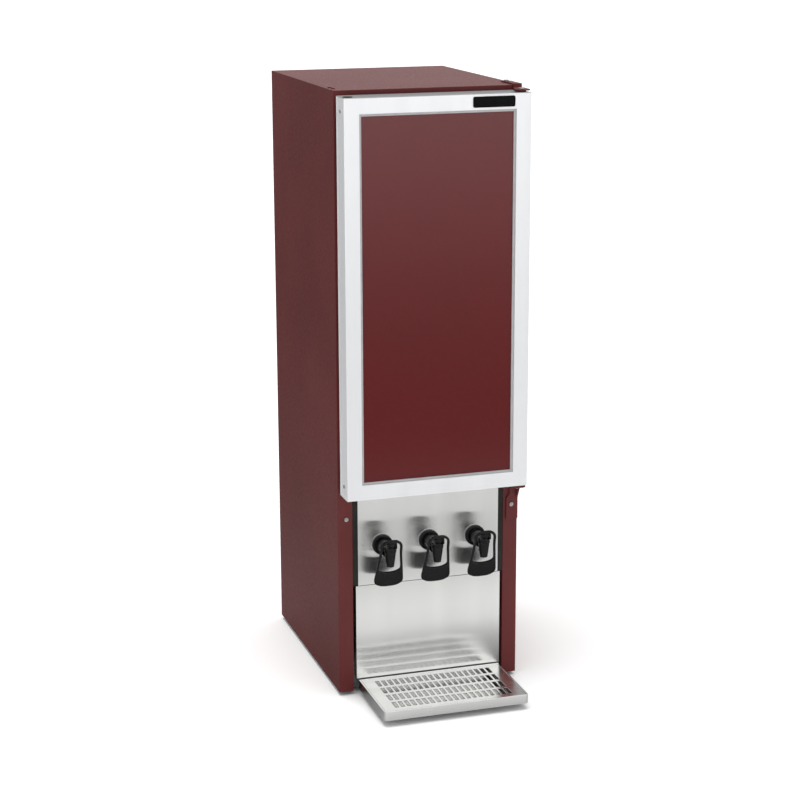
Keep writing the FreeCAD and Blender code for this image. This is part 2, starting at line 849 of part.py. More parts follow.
def frame_section(outer, face, back, hand=1):
    """The hollow extrusion of the door's frame: its outer and its inner loop."""
    wall = S.frame_wall
    inner = outer - S.stile_face * hand
    return [(outer, face), (inner, face), (inner, back), (outer, back)], [
        (outer - wall * hand, face + wall), (inner + wall * hand, face + wall),
        (inner + wall * hand, back - wall), (outer - wall * hand, back - wall)]


def door_stile(name, hand):
    part = body(name)
    outer = DOOR_HALF * hand
    inner = (DOOR_HALF - S.stile_face) * hand
    pad(part, "plan", frame_section(outer, DOOR_FACE, DOOR_BACK, hand), DOOR_FOOT, DOOR_TOP)
    round_edges(part, S.frame_round, edges_along("z", x=[outer], y=[DOOR_FACE]))
    mitres = [[(outer, DOOR_TOP), (inner, DOOR_TOP), (inner, DOOR_TOP - S.stile_face)],
              [(outer, DOOR_FOOT), (inner, DOOR_FOOT), (inner, DOOR_FOOT + S.stile_face)]]
    cut(part, "front", mitres, DOOR_FACE, DOOR_BACK)
    middle = (DOOR_FACE + DOOR_BACK) / 2
    holes = [ring(middle, z, S.screw_radius) for z in door_screw_heights()]
    low, high = span(hand, DOOR_HALF - S.frame_wall, DOOR_HALF)
    cut(part, "side", holes, low, high)


def door_rail(name, edge, hand):
    """A rail across the top (hand 1) or the foot (hand -1), with a hole for the bush and the plug."""
    part = body(name)
    inner = edge - S.stile_face * hand
    outer_loop, inner_loop = frame_section(edge, DOOR_FACE, DOOR_BACK, hand)
    loops = [[(y, z) for z, y in outer_loop], [(y, z) for z, y in inner_loop]]
    pad(part, "side", loops, -DOOR_HALF, DOOR_HALF)
    round_edges(part, S.frame_round, edges_along("x", y=[DOOR_FACE], z=[edge]))
    corner = DOOR_HALF - S.stile_face
    mitres = [[(DOOR_HALF * side, edge), (DOOR_HALF * side, inner), (corner * side, inner)]
              for side in (-1, 1)]
    cut(part, "front", mitres, DOOR_FACE, DOOR_BACK)
    low, high = (edge - S.frame_wall, edge) if hand > 0 else (edge, edge + S.frame_wall)
    holes = [ring(HINGE_X * side, HINGE_Y, S.bush_radius, MEDIUM) for side in (-1, 1)]
    cut(part, "plan", holes, low, high)


def door_screw_heights():
    return [DOOR_FOOT + S.door_screw_inset, DOOR_TOP - S.door_screw_inset]


def door_screws():
    middle = (DOOR_FACE + DOOR_BACK) / 2
    group("door_screws", [screw("x", (DOOR_HALF * hand, middle, z), S.door_screw_head_radius,
                                S.door_screw_head, S.screw_length, towards=-hand)
                          for hand in (-1, 1) for z in door_screw_heights()])


def door_plugs():
    """Plugs in the hinge holes that the door doesn't use, on its other hand."""
    pieces = []
    for edge, inwards in ((DOOR_TOP, -1), (DOOR_FOOT, 1)):
        cap_foot, reach_foot = (edge, edge - S.plug_reach) if inwards < 0 else (edge - S.plug_flange, edge)
        cap = rod("z", (-HINGE_X, HINGE_Y, cap_foot), S.bush_flange_radius, S.plug_flange, MEDIUM)
        barrel = rod("z", (-HINGE_X, HINGE_Y, reach_foot), S.bush_radius, S.plug_reach, MEDIUM)
        pieces.append(fuse([cap, barrel]))
    group("door_plugs", pieces)


def filling(inset):
    """The door's rectangle inside its frame, pulled in on every side."""
    side = DOOR_HALF - S.stile_face - inset
    return rect(-side, DOOR_FOOT + S.stile_face + inset, side, DOOR_TOP - S.stile_face - inset)


def door_filling():
    """Bead, insert, foam and inner panel, face to face from the front to the back."""
    bead = body("insert_bead")
    bead_front = DOOR_FACE + S.bead_setback
    insert_front = bead_front + S.bead_depth
    insert_back = insert_front + S.insert_sheet
    pad(bead, "front", [filling(0), filling(S.bead_width)], bead_front, insert_front)
    insert = body("door_insert")
    pad(insert, "front", [filling(0)], insert_front, insert_back)
    foam = body("door_foam")
    pad(foam, "front", [filling(0)], insert_back, DOOR_BACK - S.insert_sheet)
    inner = body("door_inner_panel")
    pad(inner, "front", [filling(0)], DOOR_BACK - S.insert_sheet, DOOR_BACK)
    dyke = filling(S.dyke_inset)
    pad(inner, "front", [dyke], DOOR_BACK, DOOR_BACK + S.dyke_rise)
    round_edges(inner, S.dyke_rise / 3, edges_along("y", x=[dyke[0][0], dyke[1][0]],
                                                    z=[dyke[0][1], dyke[2][1]]))


def gasket_ring(inset, width):
    side = DOOR_HALF - S.gasket_inset - inset
    foot = DOOR_FOOT + S.gasket_inset + inset
    head = DOOR_TOP - S.gasket_inset - inset
    return [rect(-side, foot, side, head), rect(-(side - width), foot + width, side - width, head - width)]


def door_gasket():
    """A bellows gasket: a base, a waist, a bulb and a second waist under the magnet strip."""
    part = body("door_gasket")
    face = FRONT - S.running_gap
    waist = S.gasket_waist
    narrow = S.gasket_width - waist * 2
    base = DOOR_BACK + S.gasket_base
    bulb = base + waist
    pad(part, "front", gasket_ring(0, S.gasket_width), DOOR_BACK, base)
    pad(part, "front", gasket_ring(waist, narrow), base, bulb)
    pad(part, "front", gasket_ring(0, S.gasket_width), bulb, face)


def badge_plate():
    part = body("badge_plate")
    right = DOOR_HALF - S.badge_inset
    left = right - S.badge_width
    middle = DOOR_TOP - S.stile_face / 2
    low = middle - S.badge_height / 2
    high = middle + S.badge_height / 2
    pad(part, "front", [rect(left, low, right, high)], DOOR_FACE - S.badge_thickness, DOOR_FACE)
    round_edges(part, S.badge_round, edges_along("y", x=[left, right], z=[low, high]))


# ---------------------------------------------------------------- insulated compartment

def breaker_frame():
    part = body("breaker_frame")
    ring = [rect(-COLUMN_EDGE, PANEL_TOP, COLUMN_EDGE, FASCIA_FOOT),
            rect(-MOUTH_HALF, FLOOR, MOUTH_HALF, MOUTH_TOP)]
    pad(part, "front", ring, FRONT, LINER_FRONT)


def liner_outline(grow):
    side = MOUTH_HALF + grow
    return rect(-side, LINER_FRONT, side, LINER_BACK + grow)


def well_outline(grow):
    side = WELL_HALF + grow
    return rect(-side, WELL_FRONT - grow, side, WELL_BACK + grow)


def shank_holes():
    radius = S.shank_radius + S.running_gap
    return [ring(S.tap_pitch * step, TAP_Z, radius, MEDIUM) for step in TAPS.values()]


def liner():
    """The compartment's moulded tub, open to the front, with a hole in its floor for the hoses."""
    part = body("liner")
    wall = S.liner_wall
    pad(part, "plan", [liner_outline(wall)], FLOOR - wall, MOUTH_TOP + wall)
    hollow = rect(-MOUTH_HALF, FLOOR, MOUTH_HALF, MOUTH_TOP)
    cut(part, "front", [hollow], LINER_FRONT, LINER_BACK)
    cut(part, "plan", [well_outline(0)], FLOOR - wall, FLOOR)


def hose_well():
    """The tub under the compartment's floor, with a flange that seals against the liner."""
    part = body("hose_well")
    wall = S.liner_wall
    pad(part, "plan", [well_outline(wall)], WELL_FLOOR - wall, FLOOR - wall)
    pad(part, "plan", [well_outline(S.well_flange)], FLOOR - wall * 2, FLOOR - wall)
    cut(part, "plan", [well_outline(0)], WELL_FLOOR, FLOOR - wall)
    cut(part, "front", shank_holes(), WELL_FRONT - wall, WELL_FRONT)


def shelf_ledges():
    """Two pairs of rails on the liner's walls, which the wire shelves lie on."""
    rails = []
    for level in (LOWER_SHELF, UPPER_SHELF):
        for hand in (-1, 1):
            low, high = span(hand, MOUTH_HALF - S.ledge_width, MOUTH_HALF)
            rails.append(block((low, FRONT + S.shelf_setback, level - S.ledge_height),
                               (high, LINER_BACK, level)))
    group("shelf_ledges", rails)


def insulation():
    """The foam between the liner and the shell, and round the hose well behind the tap panel."""
    part = body("insulation")
    wall = S.liner_wall
    roof = TOP - S.sheet
    pad(part, "plan", [rect(-INSIDE, COLUMN_BACK, INSIDE, SKIN)], MACHINE_TOP, roof)
    pad(part, "plan", [rect(-COLUMN_EDGE, LINER_FRONT, COLUMN_EDGE, COLUMN_BACK)], PANEL_TOP, roof)
    side = TAP_PANEL_HALF - S.sheet
    neck = rect(-side, FRONT + S.sheet, side, WELL_BACK + S.floor_insulation)
    pad(part, "plan", [neck], WELL_FLOOR - wall - S.well_insulation, PANEL_TOP)
    cut(part, "plan", [liner_outline(wall)], FLOOR - wall, MOUTH_TOP + wall)
    cut(part, "plan", [well_outline(wall)], WELL_FLOOR - wall, FLOOR)
    cut(part, "plan", [well_outline(S.well_flange)], FLOOR - wall * 2, FLOOR)
    cut(part, "front", shank_holes(), FRONT + S.sheet, WELL_FRONT - wall)
    cut(part, "plan", top_screw_holes(), roof - S.screw_length, roof)


def wire_shelf(name, ledge):
    """Long wires along Y that lie on three cross rods, which rest on the ledges."""
    level = ledge + S.running_gap
    front = FRONT + S.shelf_setback
    back = front + S.shelf_depth
    radius = S.cross_rod_radius
    half = MOUTH_HALF - radius
    rods = [rod("x", (-half, y, level + radius), radius, half * 2, SMALL)
            for y in (front + radius * 2, (front + back) / 2, back - radius * 2)]
    count = int(S.shelf_wires.number)
    first = radius * 2 - half
    for i in range(count):
        x = first - first * 2 * i / (count - 1)
        start = (x, front, level + radius * 2 + S.wire_radius)
        rods.append(rod("y", start, S.wire_radius, S.shelf_depth, SMALL))
    group(name, rods)


def evaporator_plate():
    """A roll-bond plate on four studs, with its channels raised across it."""
    part = body("evaporator_plate")
    back = LINER_BACK - S.evaporator_standoff
    face = back - S.evaporator_sheet
    foot = UPPER_SHELF + S.cross_rod_radius * 2
    head = foot + S.evaporator_height
    side = S.evaporator_half_width
    pad(part, "front", [rect(-side, foot, side, head)], face, back)
    half = S.stud_half
    corner = side - S.stud_inset
    studs = [rect(x - half, z - half, x + half, z + half)
             for x in (-corner, corner) for z in (foot + S.stud_inset, head - S.stud_inset)]
    pad(part, "front", studs, back, LINER_BACK)
    count = int(S.channels.number)
    edge = side - S.channel_inset
    channels = []
    for step in range(1, count + 1):
        z = foot + S.evaporator_height * step / (count + 1)
        channels.append(rect(-edge, z - S.channel_half, edge, z + S.channel_half))
    pad(part, "front", channels, face - S.evaporator_sheet, face)


THERMOSTAT_Y = FRONT + S.thermostat_setback
THERMOSTAT_Z = MOUTH_TOP - S.thermostat_drop


def thermostat_housing():
    """The thermostat's box on the right wall, with the shaft that its knob turns on."""
    part = body("thermostat_housing")
    face = MOUTH_HALF - S.thermostat_depth
    front, back = THERMOSTAT_Y - S.thermostat_width / 2, THERMOSTAT_Y + S.thermostat_width / 2
    foot, head = THERMOSTAT_Z - S.thermostat_height / 2, THERMOSTAT_Z + S.thermostat_height / 2
    pad(part, "side", [rect(front, foot, back, head)], face, MOUTH_HALF)
    round_edges(part, S.thermostat_round, edges_along("x", y=[front, back], z=[foot, head]))
    shaft = ring(THERMOSTAT_Y, THERMOSTAT_Z, S.knob_shaft_radius, MEDIUM)
    pad(part, "side", [shaft], face - S.knob_depth / 2, face)


def thermostat_knob():
    """A knob with a skirt and a grip bar, turned towards the compartment."""
    part = body("thermostat_knob")
    y, z = THERMOSTAT_Y, THERMOSTAT_Z
    back = MOUTH_HALF - S.thermostat_depth - S.running_gap
    front = back - S.knob_depth
    skirt = S.knob_skirt
    reach = S.knob_radius - skirt
    pad(part, "side", [ring(y, z, S.knob_radius, LARGE)], back - skirt, back)
    pad(part, "side", [ring(y, z, reach, LARGE)], front + skirt, back - skirt)
    grip_half = reach - S.running_gap
    grip = rect(y - S.knob_grip_half, z - grip_half, y + S.knob_grip_half, z + grip_half)
    pad(part, "side", [grip], front, front + skirt)
    bore = ring(y, z, around(S.knob_shaft_radius + S.fit_gap, MEDIUM), MEDIUM)
    cut(part, "side", [bore], front + S.knob_depth / 2, back)


# ---------------------------------------------------------------- front panels

def folded_panel(name, half, foot, head, holes=()):
    part = body(name)
    back = FRONT + S.panel_return
    inner = half - S.sheet
    profile = [(-half, FRONT), (half, FRONT), (half, back), (inner, back), (inner, FRONT + S.sheet),
               (-inner, FRONT + S.sheet), (-inner, back), (-half, back)]
    pad(part, "plan", [profile], foot, head)
    if holes:
        cut(part, "front", holes, FRONT, FRONT + S.sheet)


def side_trims():
    pieces = []
    for hand in (-1, 1):
        low, high = span(hand, TAP_PANEL_HALF, COLUMN_EDGE)
        pieces.append(block((low, FRONT + S.running_gap, SEAM),
                            (high, FRONT + S.trim_depth, PANEL_TOP)))
    group("side_trims", pieces)


# ---------------------------------------------------------------- taps

def tap_body(number, step):
    """Spigot, shank, flange and barrel along Y, the coned spout along Z, and two ears."""
    part = body(f"tap_body_{number}")
    place(part, x=S.tap_pitch * step, y=FRONT, z=TAP_Z)
    seat = -S.washer_thickness
    flange = seat - S.flange_thickness
    tip = S.shank_length + S.spigot_length
    axis = -S.spout_forward
    shoulder = flange + S.flange_chamfer
    top = S.bonnet_rise
    pad(part, "plan", [ring(0, axis, S.spout_top_radius, LARGE)], -S.spout_drop, top)
    bevel(part, -S.spout_drop, S.spout_top_radius - S.spout_tip_radius, S.spout_drop + S.spout_collar)
    bevel(part, top, S.bonnet_edge, S.bonnet_edge)
    pad(part, "front", [ring(0, 0, S.flange_radius, LARGE)], shoulder, seat)
    pad(part, "front", [ring(0, 0, S.flange_radius - S.flange_chamfer, LARGE)], flange, shoulder)
    pad(part, "front", [ring(0, 0, S.shank_radius, MEDIUM)], seat, S.shank_length)
    pad(part, "front", [disc(0, 0, S.spigot_radius)], S.shank_length, tip)
    pad(part, "front", [ring(0, 0, S.barrel_radius, LARGE)], axis + S.chamber_radius, flange)
    tap_ears(part)
    cut(part, "plan", [ring(0, axis, S.chamber_radius, MEDIUM)], -S.seat_drop, top)
    cut(part, "plan", [ring(0, axis, S.nozzle_radius, MEDIUM)], -S.spout_drop, -S.seat_drop)
    cut(part, "front", [ring(0, 0, S.duct_radius)], axis + S.chamber_radius / 2, tip)


def tap_ears(part):
    """The ears that carry the lever's pin on the bonnet's front edge."""
    py, pz = -S.pivot_forward, S.pivot_rise
    near = S.ear_radius
    slope = near * DIAGONAL
    root = S.bonnet_rise - S.ear_root
    heel = py + S.ear_heel
    ear = [(py - near, pz), (py - slope, pz + slope), (py, pz + near), (py + slope, pz + slope),
           (heel, S.bonnet_rise + S.bonnet_edge), (heel, root), (py - S.ear_toe, root),
           (py - near, S.bonnet_rise)]
    pad(part, "side", [ear], -S.ear_outer, S.ear_outer)
    slot = rect(py - near * 2, S.bonnet_rise, py + near * 2, pz + near * 2)
    cut(part, "side", [slot], -S.ear_inner, S.ear_inner)
    cut(part, "side", [ring(py, pz, S.lever_pin_radius)], -S.ear_outer, S.ear_outer)


def lever_half_outlines():
    """The right half of the lever's outer edge and of its window, from the crown down."""
    band = S.lever_band
    outer = [(S.crown_half, S.crown_rise), (S.shoulder_half, S.shoulder_rise),
             (S.arm_half, -S.shoulder_rise), (S.arm_half, -S.arm_drop), (S.paddle_half, -S.paddle_drop),
             (S.paddle_half - S.toe_round, -S.paddle_drop - S.paddle_edge),
             (S.toe_wide, -S.lever_drop + S.toe_round), (S.toe_narrow, -S.lever_drop)]
    window_foot = S.paddle_half - band - S.window_round
    window = [(S.crown_half, S.crown_rise - band), (S.shoulder_half - band, S.shoulder_rise - band / 2),
              (S.arm_half - band, -S.shoulder_rise), (S.arm_half - band, -S.arm_drop),
              (window_foot, -S.paddle_top_drop + band),
              (S.sill_wide, -S.paddle_top_drop + S.window_bow), (S.sill_narrow, -S.paddle_top_drop)]
    return outer, window


def tap_lever(number, step):
    """A tilted loop with its paddle, a lug on the pin, and two tines pinned to the stem's eye."""
    part = body(f"tap_lever_{number}")
    place(part, x=S.tap_pitch * step, y=FRONT - S.pivot_forward, z=TAP_Z + S.pivot_rise)
    outer, window = lever_half_outlines()
    sketch = sketch_on(part, "front", 0, [mirrored(outer), mirrored(window)], tilt=S.lever_tilt)
    plate = part.newObject("PartDesign::Pad", "plate")
    plate.Profile = sketch
    plate.Midplane = True
    bind(plate, "Length", S.lever_thickness)
    half = S.ear_inner - S.lug_gap
    knuckle = S.ear_radius - S.lug_gap
    slope = knuckle * DIAGONAL
    eye_y, eye_z = S.pivot_forward - S.spout_forward, -S.eye_drop
    end = eye_y + S.eye_radius
    tine_top, tine_foot = eye_z + S.eye_radius, eye_z - S.trunnion_radius * 2
    lug = [(-knuckle, 1), (-knuckle, S.crown_rise - S.lug_top_drop), (0, S.crown_rise - S.lug_top_drop),
           (knuckle, tine_top), (end, tine_top), (end, tine_foot), (knuckle, tine_foot),
           (slope, -slope), (0, -knuckle), (-slope, -slope)]
    pad(part, "side", [lug], -half, half)
    fork = rect(-S.eye_half_width - S.tine_gap, eye_y - S.eye_radius - S.fork_gap,
                S.eye_half_width + S.tine_gap, end)
    cut(part, "plan", [fork], tine_foot, tine_top)
    for hand in (-1, 1):
        low, high = span(hand, S.trunnion_gap, S.eye_half_width + S.tine_gap)
        pad(part, "side", [ring(eye_y, eye_z, S.trunnion_radius)], low, high)
    cut(part, "side", [ring(0, 0, around(S.lever_pin_radius + S.fit_gap))], -half, half)


def tap_plunger(number, step):
    """The valve's plug on its stem, with the flat eye that the lever's trunnions hold."""
    part = body(f"tap_plunger_{number}")
    place(part, x=S.tap_pitch * step, y=FRONT - S.spout_forward, z=TAP_Z)
    seat = S.running_gap - S.seat_drop
    plug_top = seat + S.stem_plug_height
    eye = S.pivot_rise - S.eye_drop
    half = S.eye_radius
    pad(part, "plan", [ring(0, 0, S.stem_plug_radius, MEDIUM)], seat, plug_top)
    pad(part, "plan", [ring(0, 0, S.stem_radius, MEDIUM)], plug_top, eye - half)
    flat = rect(-S.eye_half_width, -half, S.eye_half_width, half)
    pad(part, "plan", [flat], eye - half, eye + half)
    bore = ring(0, eye, around(S.trunnion_radius + S.fit_gap))
    cut(part, "side", [bore], -S.eye_half_width, S.eye_half_width)


def stem_seal(x):
    """The cup in the bonnet's mouth that the stem slides through."""
    y, top = FRONT - S.spout_forward, TAP_Z + S.bonnet_rise
    foot = top - S.seal_height
    cup = fuse([rod("z", (x, y, foot), S.chamber_radius, S.seal_height, MEDIUM),
                rod("z", (x, y, top), S.chamber_radius - S.seal_lip_width, S.seal_lip, MEDIUM)])
    return take(cup, rod("z", (x, y, foot), around(S.stem_radius + S.stem_play), S.seal_height * 2, SMALL))


def tap_hardware():
    """Lever pins, stem seals, back nuts and flange washers, one of each for every tap."""
    places = [S.tap_pitch * step for step in TAPS.values()]
    group("lever_pins", [rod("x", (x - S.ear_outer, FRONT - S.pivot_forward, TAP_Z + S.pivot_rise),
                             S.lever_pin_radius, S.ear_outer * 2, SMALL) for x in places])
    group("stem_seals", [stem_seal(x) for x in places])
    nut = S.nut_thickness
    group("tap_nuts", [take(rod("y", (x, WELL_FRONT, TAP_Z), S.nut_radius, nut, 6),
                            rod("y", (x, WELL_FRONT, TAP_Z), S.shank_radius, nut, MEDIUM)) for x in places])
    seat, washer = FRONT - S.washer_thickness, S.washer_thickness
    group("tap_washers", [take(rod("y", (x, seat, TAP_Z), S.washer_radius, washer, LARGE),
                               rod("y", (x, seat, TAP_Z), S.shank_radius, washer, MEDIUM)) for x in places])


# ---------------------------------------------------------------- drip tray

def drip_tray():
    """A shallow folded tray with an inward rim, and two tongues that slide into the base pan."""
    part = body("drip_tray")
    side = TRAY_HALF
    pad(part, "plan", [rect(-side, TRAY_FRONT, side, TRAY_BACK)], TRAY_FOOT, TRAY_TOP)
    wall = S.tray_wall
    basin = rect(-(side - wall), TRAY_FRONT + wall, side - wall, TRAY_BACK - wall)
    cut(part, "plan", [basin], TRAY_FOOT + wall, TRAY_TOP - wall)
    cut(part, "plan", [tray_mouth(0)], TRAY_TOP - wall, TRAY_TOP)
    tongues = [rect(TONGUE_X * hand - S.tongue_half_width, TRAY_BACK,
                    TONGUE_X * hand + S.tongue_half_width, TRAY_BACK + S.tongue_length)
               for hand in (-1, 1)]
    pad(part, "plan", tongues, TRAY_FOOT, TRAY_FOOT + wall)
    round_edges(part, S.tray_corner - wall,
                edges_along("z", x=[-(side - wall), side - wall], y=[TRAY_FRONT + wall]))
    round_edges(part, S.tray_corner, edges_along("z", x=[-side, side], y=[TRAY_FRONT]))


def tray_mouth(inset):
    side = TRAY_HALF - S.rim_width - inset
    return rect(-side, TRAY_FRONT + S.rim_width + inset, side, TRAY_BACK - S.rim_width - inset)


def drip_grille():
    """A flat sheet with four rows of slots, on two folded legs that stand in the tray."""
    part = body("drip_grille")
    plate = tray_mouth(S.running_gap)
    top = TRAY_TOP - S.running_gap
    under = top - S.grille_sheet
    pad(part, "plan", [plate], under, top)
    (left, front), (right, back) = plate[0], plate[2]
    foot = TRAY_FOOT + S.tray_wall + S.running_gap
    legs = [rect(left + S.grille_leg_inset, y, right - S.grille_leg_inset, y + S.grille_sheet)
            for y in (front, back - S.grille_sheet)]
    pad(part, "plan", legs, foot, under)
    columns = int(((right - left - S.slot_margin * 2) / S.slot_pitch).number)
    rows = int(S.slot_rows.number)
    first_x = -S.slot_pitch * (columns - 1) / 2
    middle = (front + back) / 2
    slots = []
    for row in range(rows):
        y = middle + S.row_pitch * (row - (rows - 1) / 2)
        slots.append(rect(first_x - S.slot_width / 2, y - S.slot_length / 2,
                          first_x + S.slot_width / 2, y + S.slot_length / 2))
    pocket = cut(part, "plan", slots, under, top)
    pattern = part.newObject("PartDesign::LinearPattern", "slot_columns")
    pattern.Originals = [pocket]
    pattern.Direction = (pocket.Profile[0], ["H_Axis"])
    bind(pattern, "Length", S.slot_pitch * (columns - 1))
    pattern.Occurrences = columns
    part.Tip = pattern


# ---------------------------------------------------------------- cooling machine

def compressor():
    """A domed steel shell on its base plate, with two pipe stubs, standing on the grommets."""
    part = body("compressor")
    place(part, y=FRONT + S.compressor_setback, z=PAN_FLOOR + S.grommet_height)
    radius = S.compressor_radius
    height = S.compressor_height
    shoulder = height - S.dome_shoulder_drop
    pad(part, "plan", [ring(0, 0, radius, LARGE)], 0, shoulder)
    bevel(part, shoulder, S.dome_shoulder, S.dome_rise - S.dome_shoulder_drop)
    bevel(part, 0, S.shell_foot_edge, S.shell_foot_edge)
    pad(part, "plan", [ring(0, 0, radius - S.dome_shoulder - S.dome_seam, LARGE)], shoulder, height)
    crown = S.dome_shoulder_drop - S.dome_seam
    bevel(part, height, crown, crown)
    half = S.base_plate_half_width
    depth = S.base_plate_half_depth
    pad(part, "plan", [rect(-half, -depth, half, depth)], 0, S.base_plate)
    stubs = [ring(S.stub_aside * hand, S.stub_behind, S.stub_radius) for hand in (-1, 1)]
    pad(part, "plan", stubs, height - S.stub_root, height + S.stub_rise)


def compressor_grommets():
    across = S.base_plate_half_width - S.grommet_radius - S.base_plate
    along = S.base_plate_half_depth - S.grommet_radius - S.base_plate
    middle = FRONT + S.compressor_setback
    places = [(across * a, middle + along * b) for a in (-1, 1) for b in (-1, 1)]
    group("compressor_grommets", [rod("z", (x, y, PAN_FLOOR), S.grommet_radius, S.grommet_height, SMALL)
                                  for x, y in places])


def terminal_box():
    """The cover over the compressor's terminals, on its left side."""
    part = body("terminal_box")
    front = FRONT + S.compressor_setback - S.terminal_width / 2
    foot = PAN_FLOOR + S.grommet_height + S.terminal_rise
    cover = rect(front, foot, front + S.terminal_width, foot + S.terminal_height)
    pad(part, "side", [cover], -S.compressor_radius - S.terminal_depth, -S.compressor_radius)


CONDENSER_Y = FRONT + S.condenser_setback
CONDENSER_HALF = HALF - S.condenser_side_inset
CONDENSER_FOOT = UNDERSIDE + S.condenser_foot
CONDENSER_HEAD = TOP - S.condenser_head_drop
CONDENSER_RUNS = int(S.condenser_runs.number)
CONDENSER_PITCH = (CONDENSER_HEAD - CONDENSER_FOOT) / (CONDENSER_RUNS - 1)


def serpentine():
    """The tube's centre line on the front plane: straight runs joined by bends of four chords."""
    bend = CONDENSER_PITCH / 2
    straight = CONDENSER_HALF - bend
    points = []
    for run in range(CONDENSER_RUNS):
        hand = 1 if run % 2 else -1
        z = CONDENSER_FOOT + CONDENSER_PITCH * run
        points += [(straight * hand, z), (-straight * hand, z)]
        if run < CONDENSER_RUNS - 1:
            for step in (45, 90, 135):
                out = round(math.sin(math.radians(step)), 6)
                up = round(1 - math.cos(math.radians(step)), 6)
                points.append((-(straight + bend * out) * hand, z + bend * up))
    return points


def condenser_tube():
    part = doc.addObject("PartDesign::Body", "condenser_tube")
    spine = sketch_on(part, "front", CONDENSER_Y, [])
    points = serpentine()
    for i, (start, end) in enumerate(zip(points, points[1:])):
        ends = [Vector(as_size(u).number, as_size(v).number, 0) for u, v in (start, end)]
        spine.addGeometry(Part.LineSegment(*ends))
        if i:
            spine.addConstraint(Sketcher.Constraint("Coincident", i - 1, 2, i, 1))
        tie(spine, "DistanceX", i, 1, start[0])
        tie(spine, "DistanceY", i, 1, start[1])
    tie(spine, "DistanceX", len(points) - 2, 2, points[-1][0])
    tie(spine, "DistanceY", len(points) - 2, 2, points[-1][1])
    start = points[0]
    section = sketch_on(part, "side", start[0], [ring(CONDENSER_Y, start[1], S.condenser_tube_radius, 6)])
    pipe = part.newObject("PartDesign::AdditivePipe", "tube")
    pipe.Profile = section
    pipe.Spine = spine
    pipe.Transition = "Right corner"
    return part


def condenser():
    """A serpentine tube between two sets of upright wires, on four clips behind the rear skin."""
    tube = S.condenser_tube_radius
    members = [condenser_tube()]
    wire = S.condenser_wire
    low = CONDENSER_FOOT - S.condenser_wire_overhang
    high = CONDENSER_HEAD + S.condenser_wire_overhang
    count = int(S.condenser_wires.number)
    straight = CONDENSER_HALF - CONDENSER_PITCH / 2
    wire_edge = straight - S.condenser_wire_inset
    for i in range(count):
        x = wire_edge * (2 * i / (count - 1) - 1)
        for near in (CONDENSER_Y - tube - wire, CONDENSER_Y + tube):
            members.append(block((x - wire / 2, near, low), (x + wire / 2, near + wire, high)))
    clip = S.condenser_clip
    for hand in (-1, 1):
        low_x, high_x = span(hand, straight - clip, straight + clip)
        for run in (CONDENSER_RUNS // 2, CONDENSER_RUNS - 2):
            z = CONDENSER_FOOT + CONDENSER_PITCH * run
            members.append(block((low_x, SKIN + S.sheet, z - clip), (high_x, CONDENSER_Y - tube, z + clip)))
    group("condenser", members)


def filter_drier():
    """A copper drier standing beside the compressor on its pipe stub."""
    part = body("filter_drier")
    place(part, x=HALF - S.drier_inset, y=FRONT + S.compressor_setback + S.drier_setback, z=PAN_FLOOR)
    foot = S.drier_foot
    head = foot + S.drier_height
    pad(part, "plan", [ring(0, 0, S.drier_stub_radius)], 0, foot)
    pad(part, "plan", [ring(0, 0, S.drier_radius, MEDIUM)], foot, head)
    pad(part, "plan", [ring(0, 0, S.drier_stub_radius)], head, head + S.drier_stub)


# ---------------------------------------------------------------- assembly

side_panel("side_panel_left", -1)
side_panel("side_panel_right", 1)
top_panel()
base_pan()
rear_panel()
rear_crossbar()
cable_gland()
feet()
cabinet_screws()
hole_plugs()
top_hinge_bracket()
lower_hinge_bracket()
hinge_pins()
door_stile("door_stile_left", -1)
door_stile("door_stile_right", 1)
door_rail("door_rail_top", DOOR_TOP, 1)
door_rail("door_rail_foot", DOOR_FOOT, -1)
door_bushes()
door_screws()
door_plugs()
door_filling()
door_gasket()
badge_plate()
breaker_frame()
liner()
hose_well()
shelf_ledges()
insulation()
wire_shelf("shelf_lower", LOWER_SHELF)
wire_shelf("shelf_upper", UPPER_SHELF)
evaporator_plate()
thermostat_housing()
thermostat_knob()
folded_panel("tap_panel", TAP_PANEL_HALF, SEAM, PANEL_TOP, shank_holes())
folded_panel("splash_panel", SPLASH_HALF, UNDERSIDE + S.splash_foot, SEAM - S.seam_gap)
side_trims()
for tap_number, tap_step in TAPS.items():
    tap_body(tap_number, tap_step)
    tap_lever(tap_number, tap_step)
    tap_plunger(tap_number, tap_step)
tap_hardware()
drip_tray()
drip_grille()
compressor()
compressor_grommets()
terminal_box()
condenser()
filter_drier()

doc.recompute()
for thing in doc.Objects:
    if "Invalid" in thing.State or "Error" in thing.State:
        raise RuntimeError(f"{thing.Label} failed: {thing.State}")
for name, thing in nodes.items():
    if thing.Shape.isNull() or not thing.Shape.isValid():
        raise RuntimeError(f"{name} has no valid shape")

os.makedirs("parts", exist_ok=True)
for name, thing in nodes.items():
    thing.Shape.exportStep(f"parts/{name}.step")
print(f"{len(nodes)} sub-parts written")
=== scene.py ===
import json
import math

import bmesh
import bpy
from mathutils import Matrix, Vector

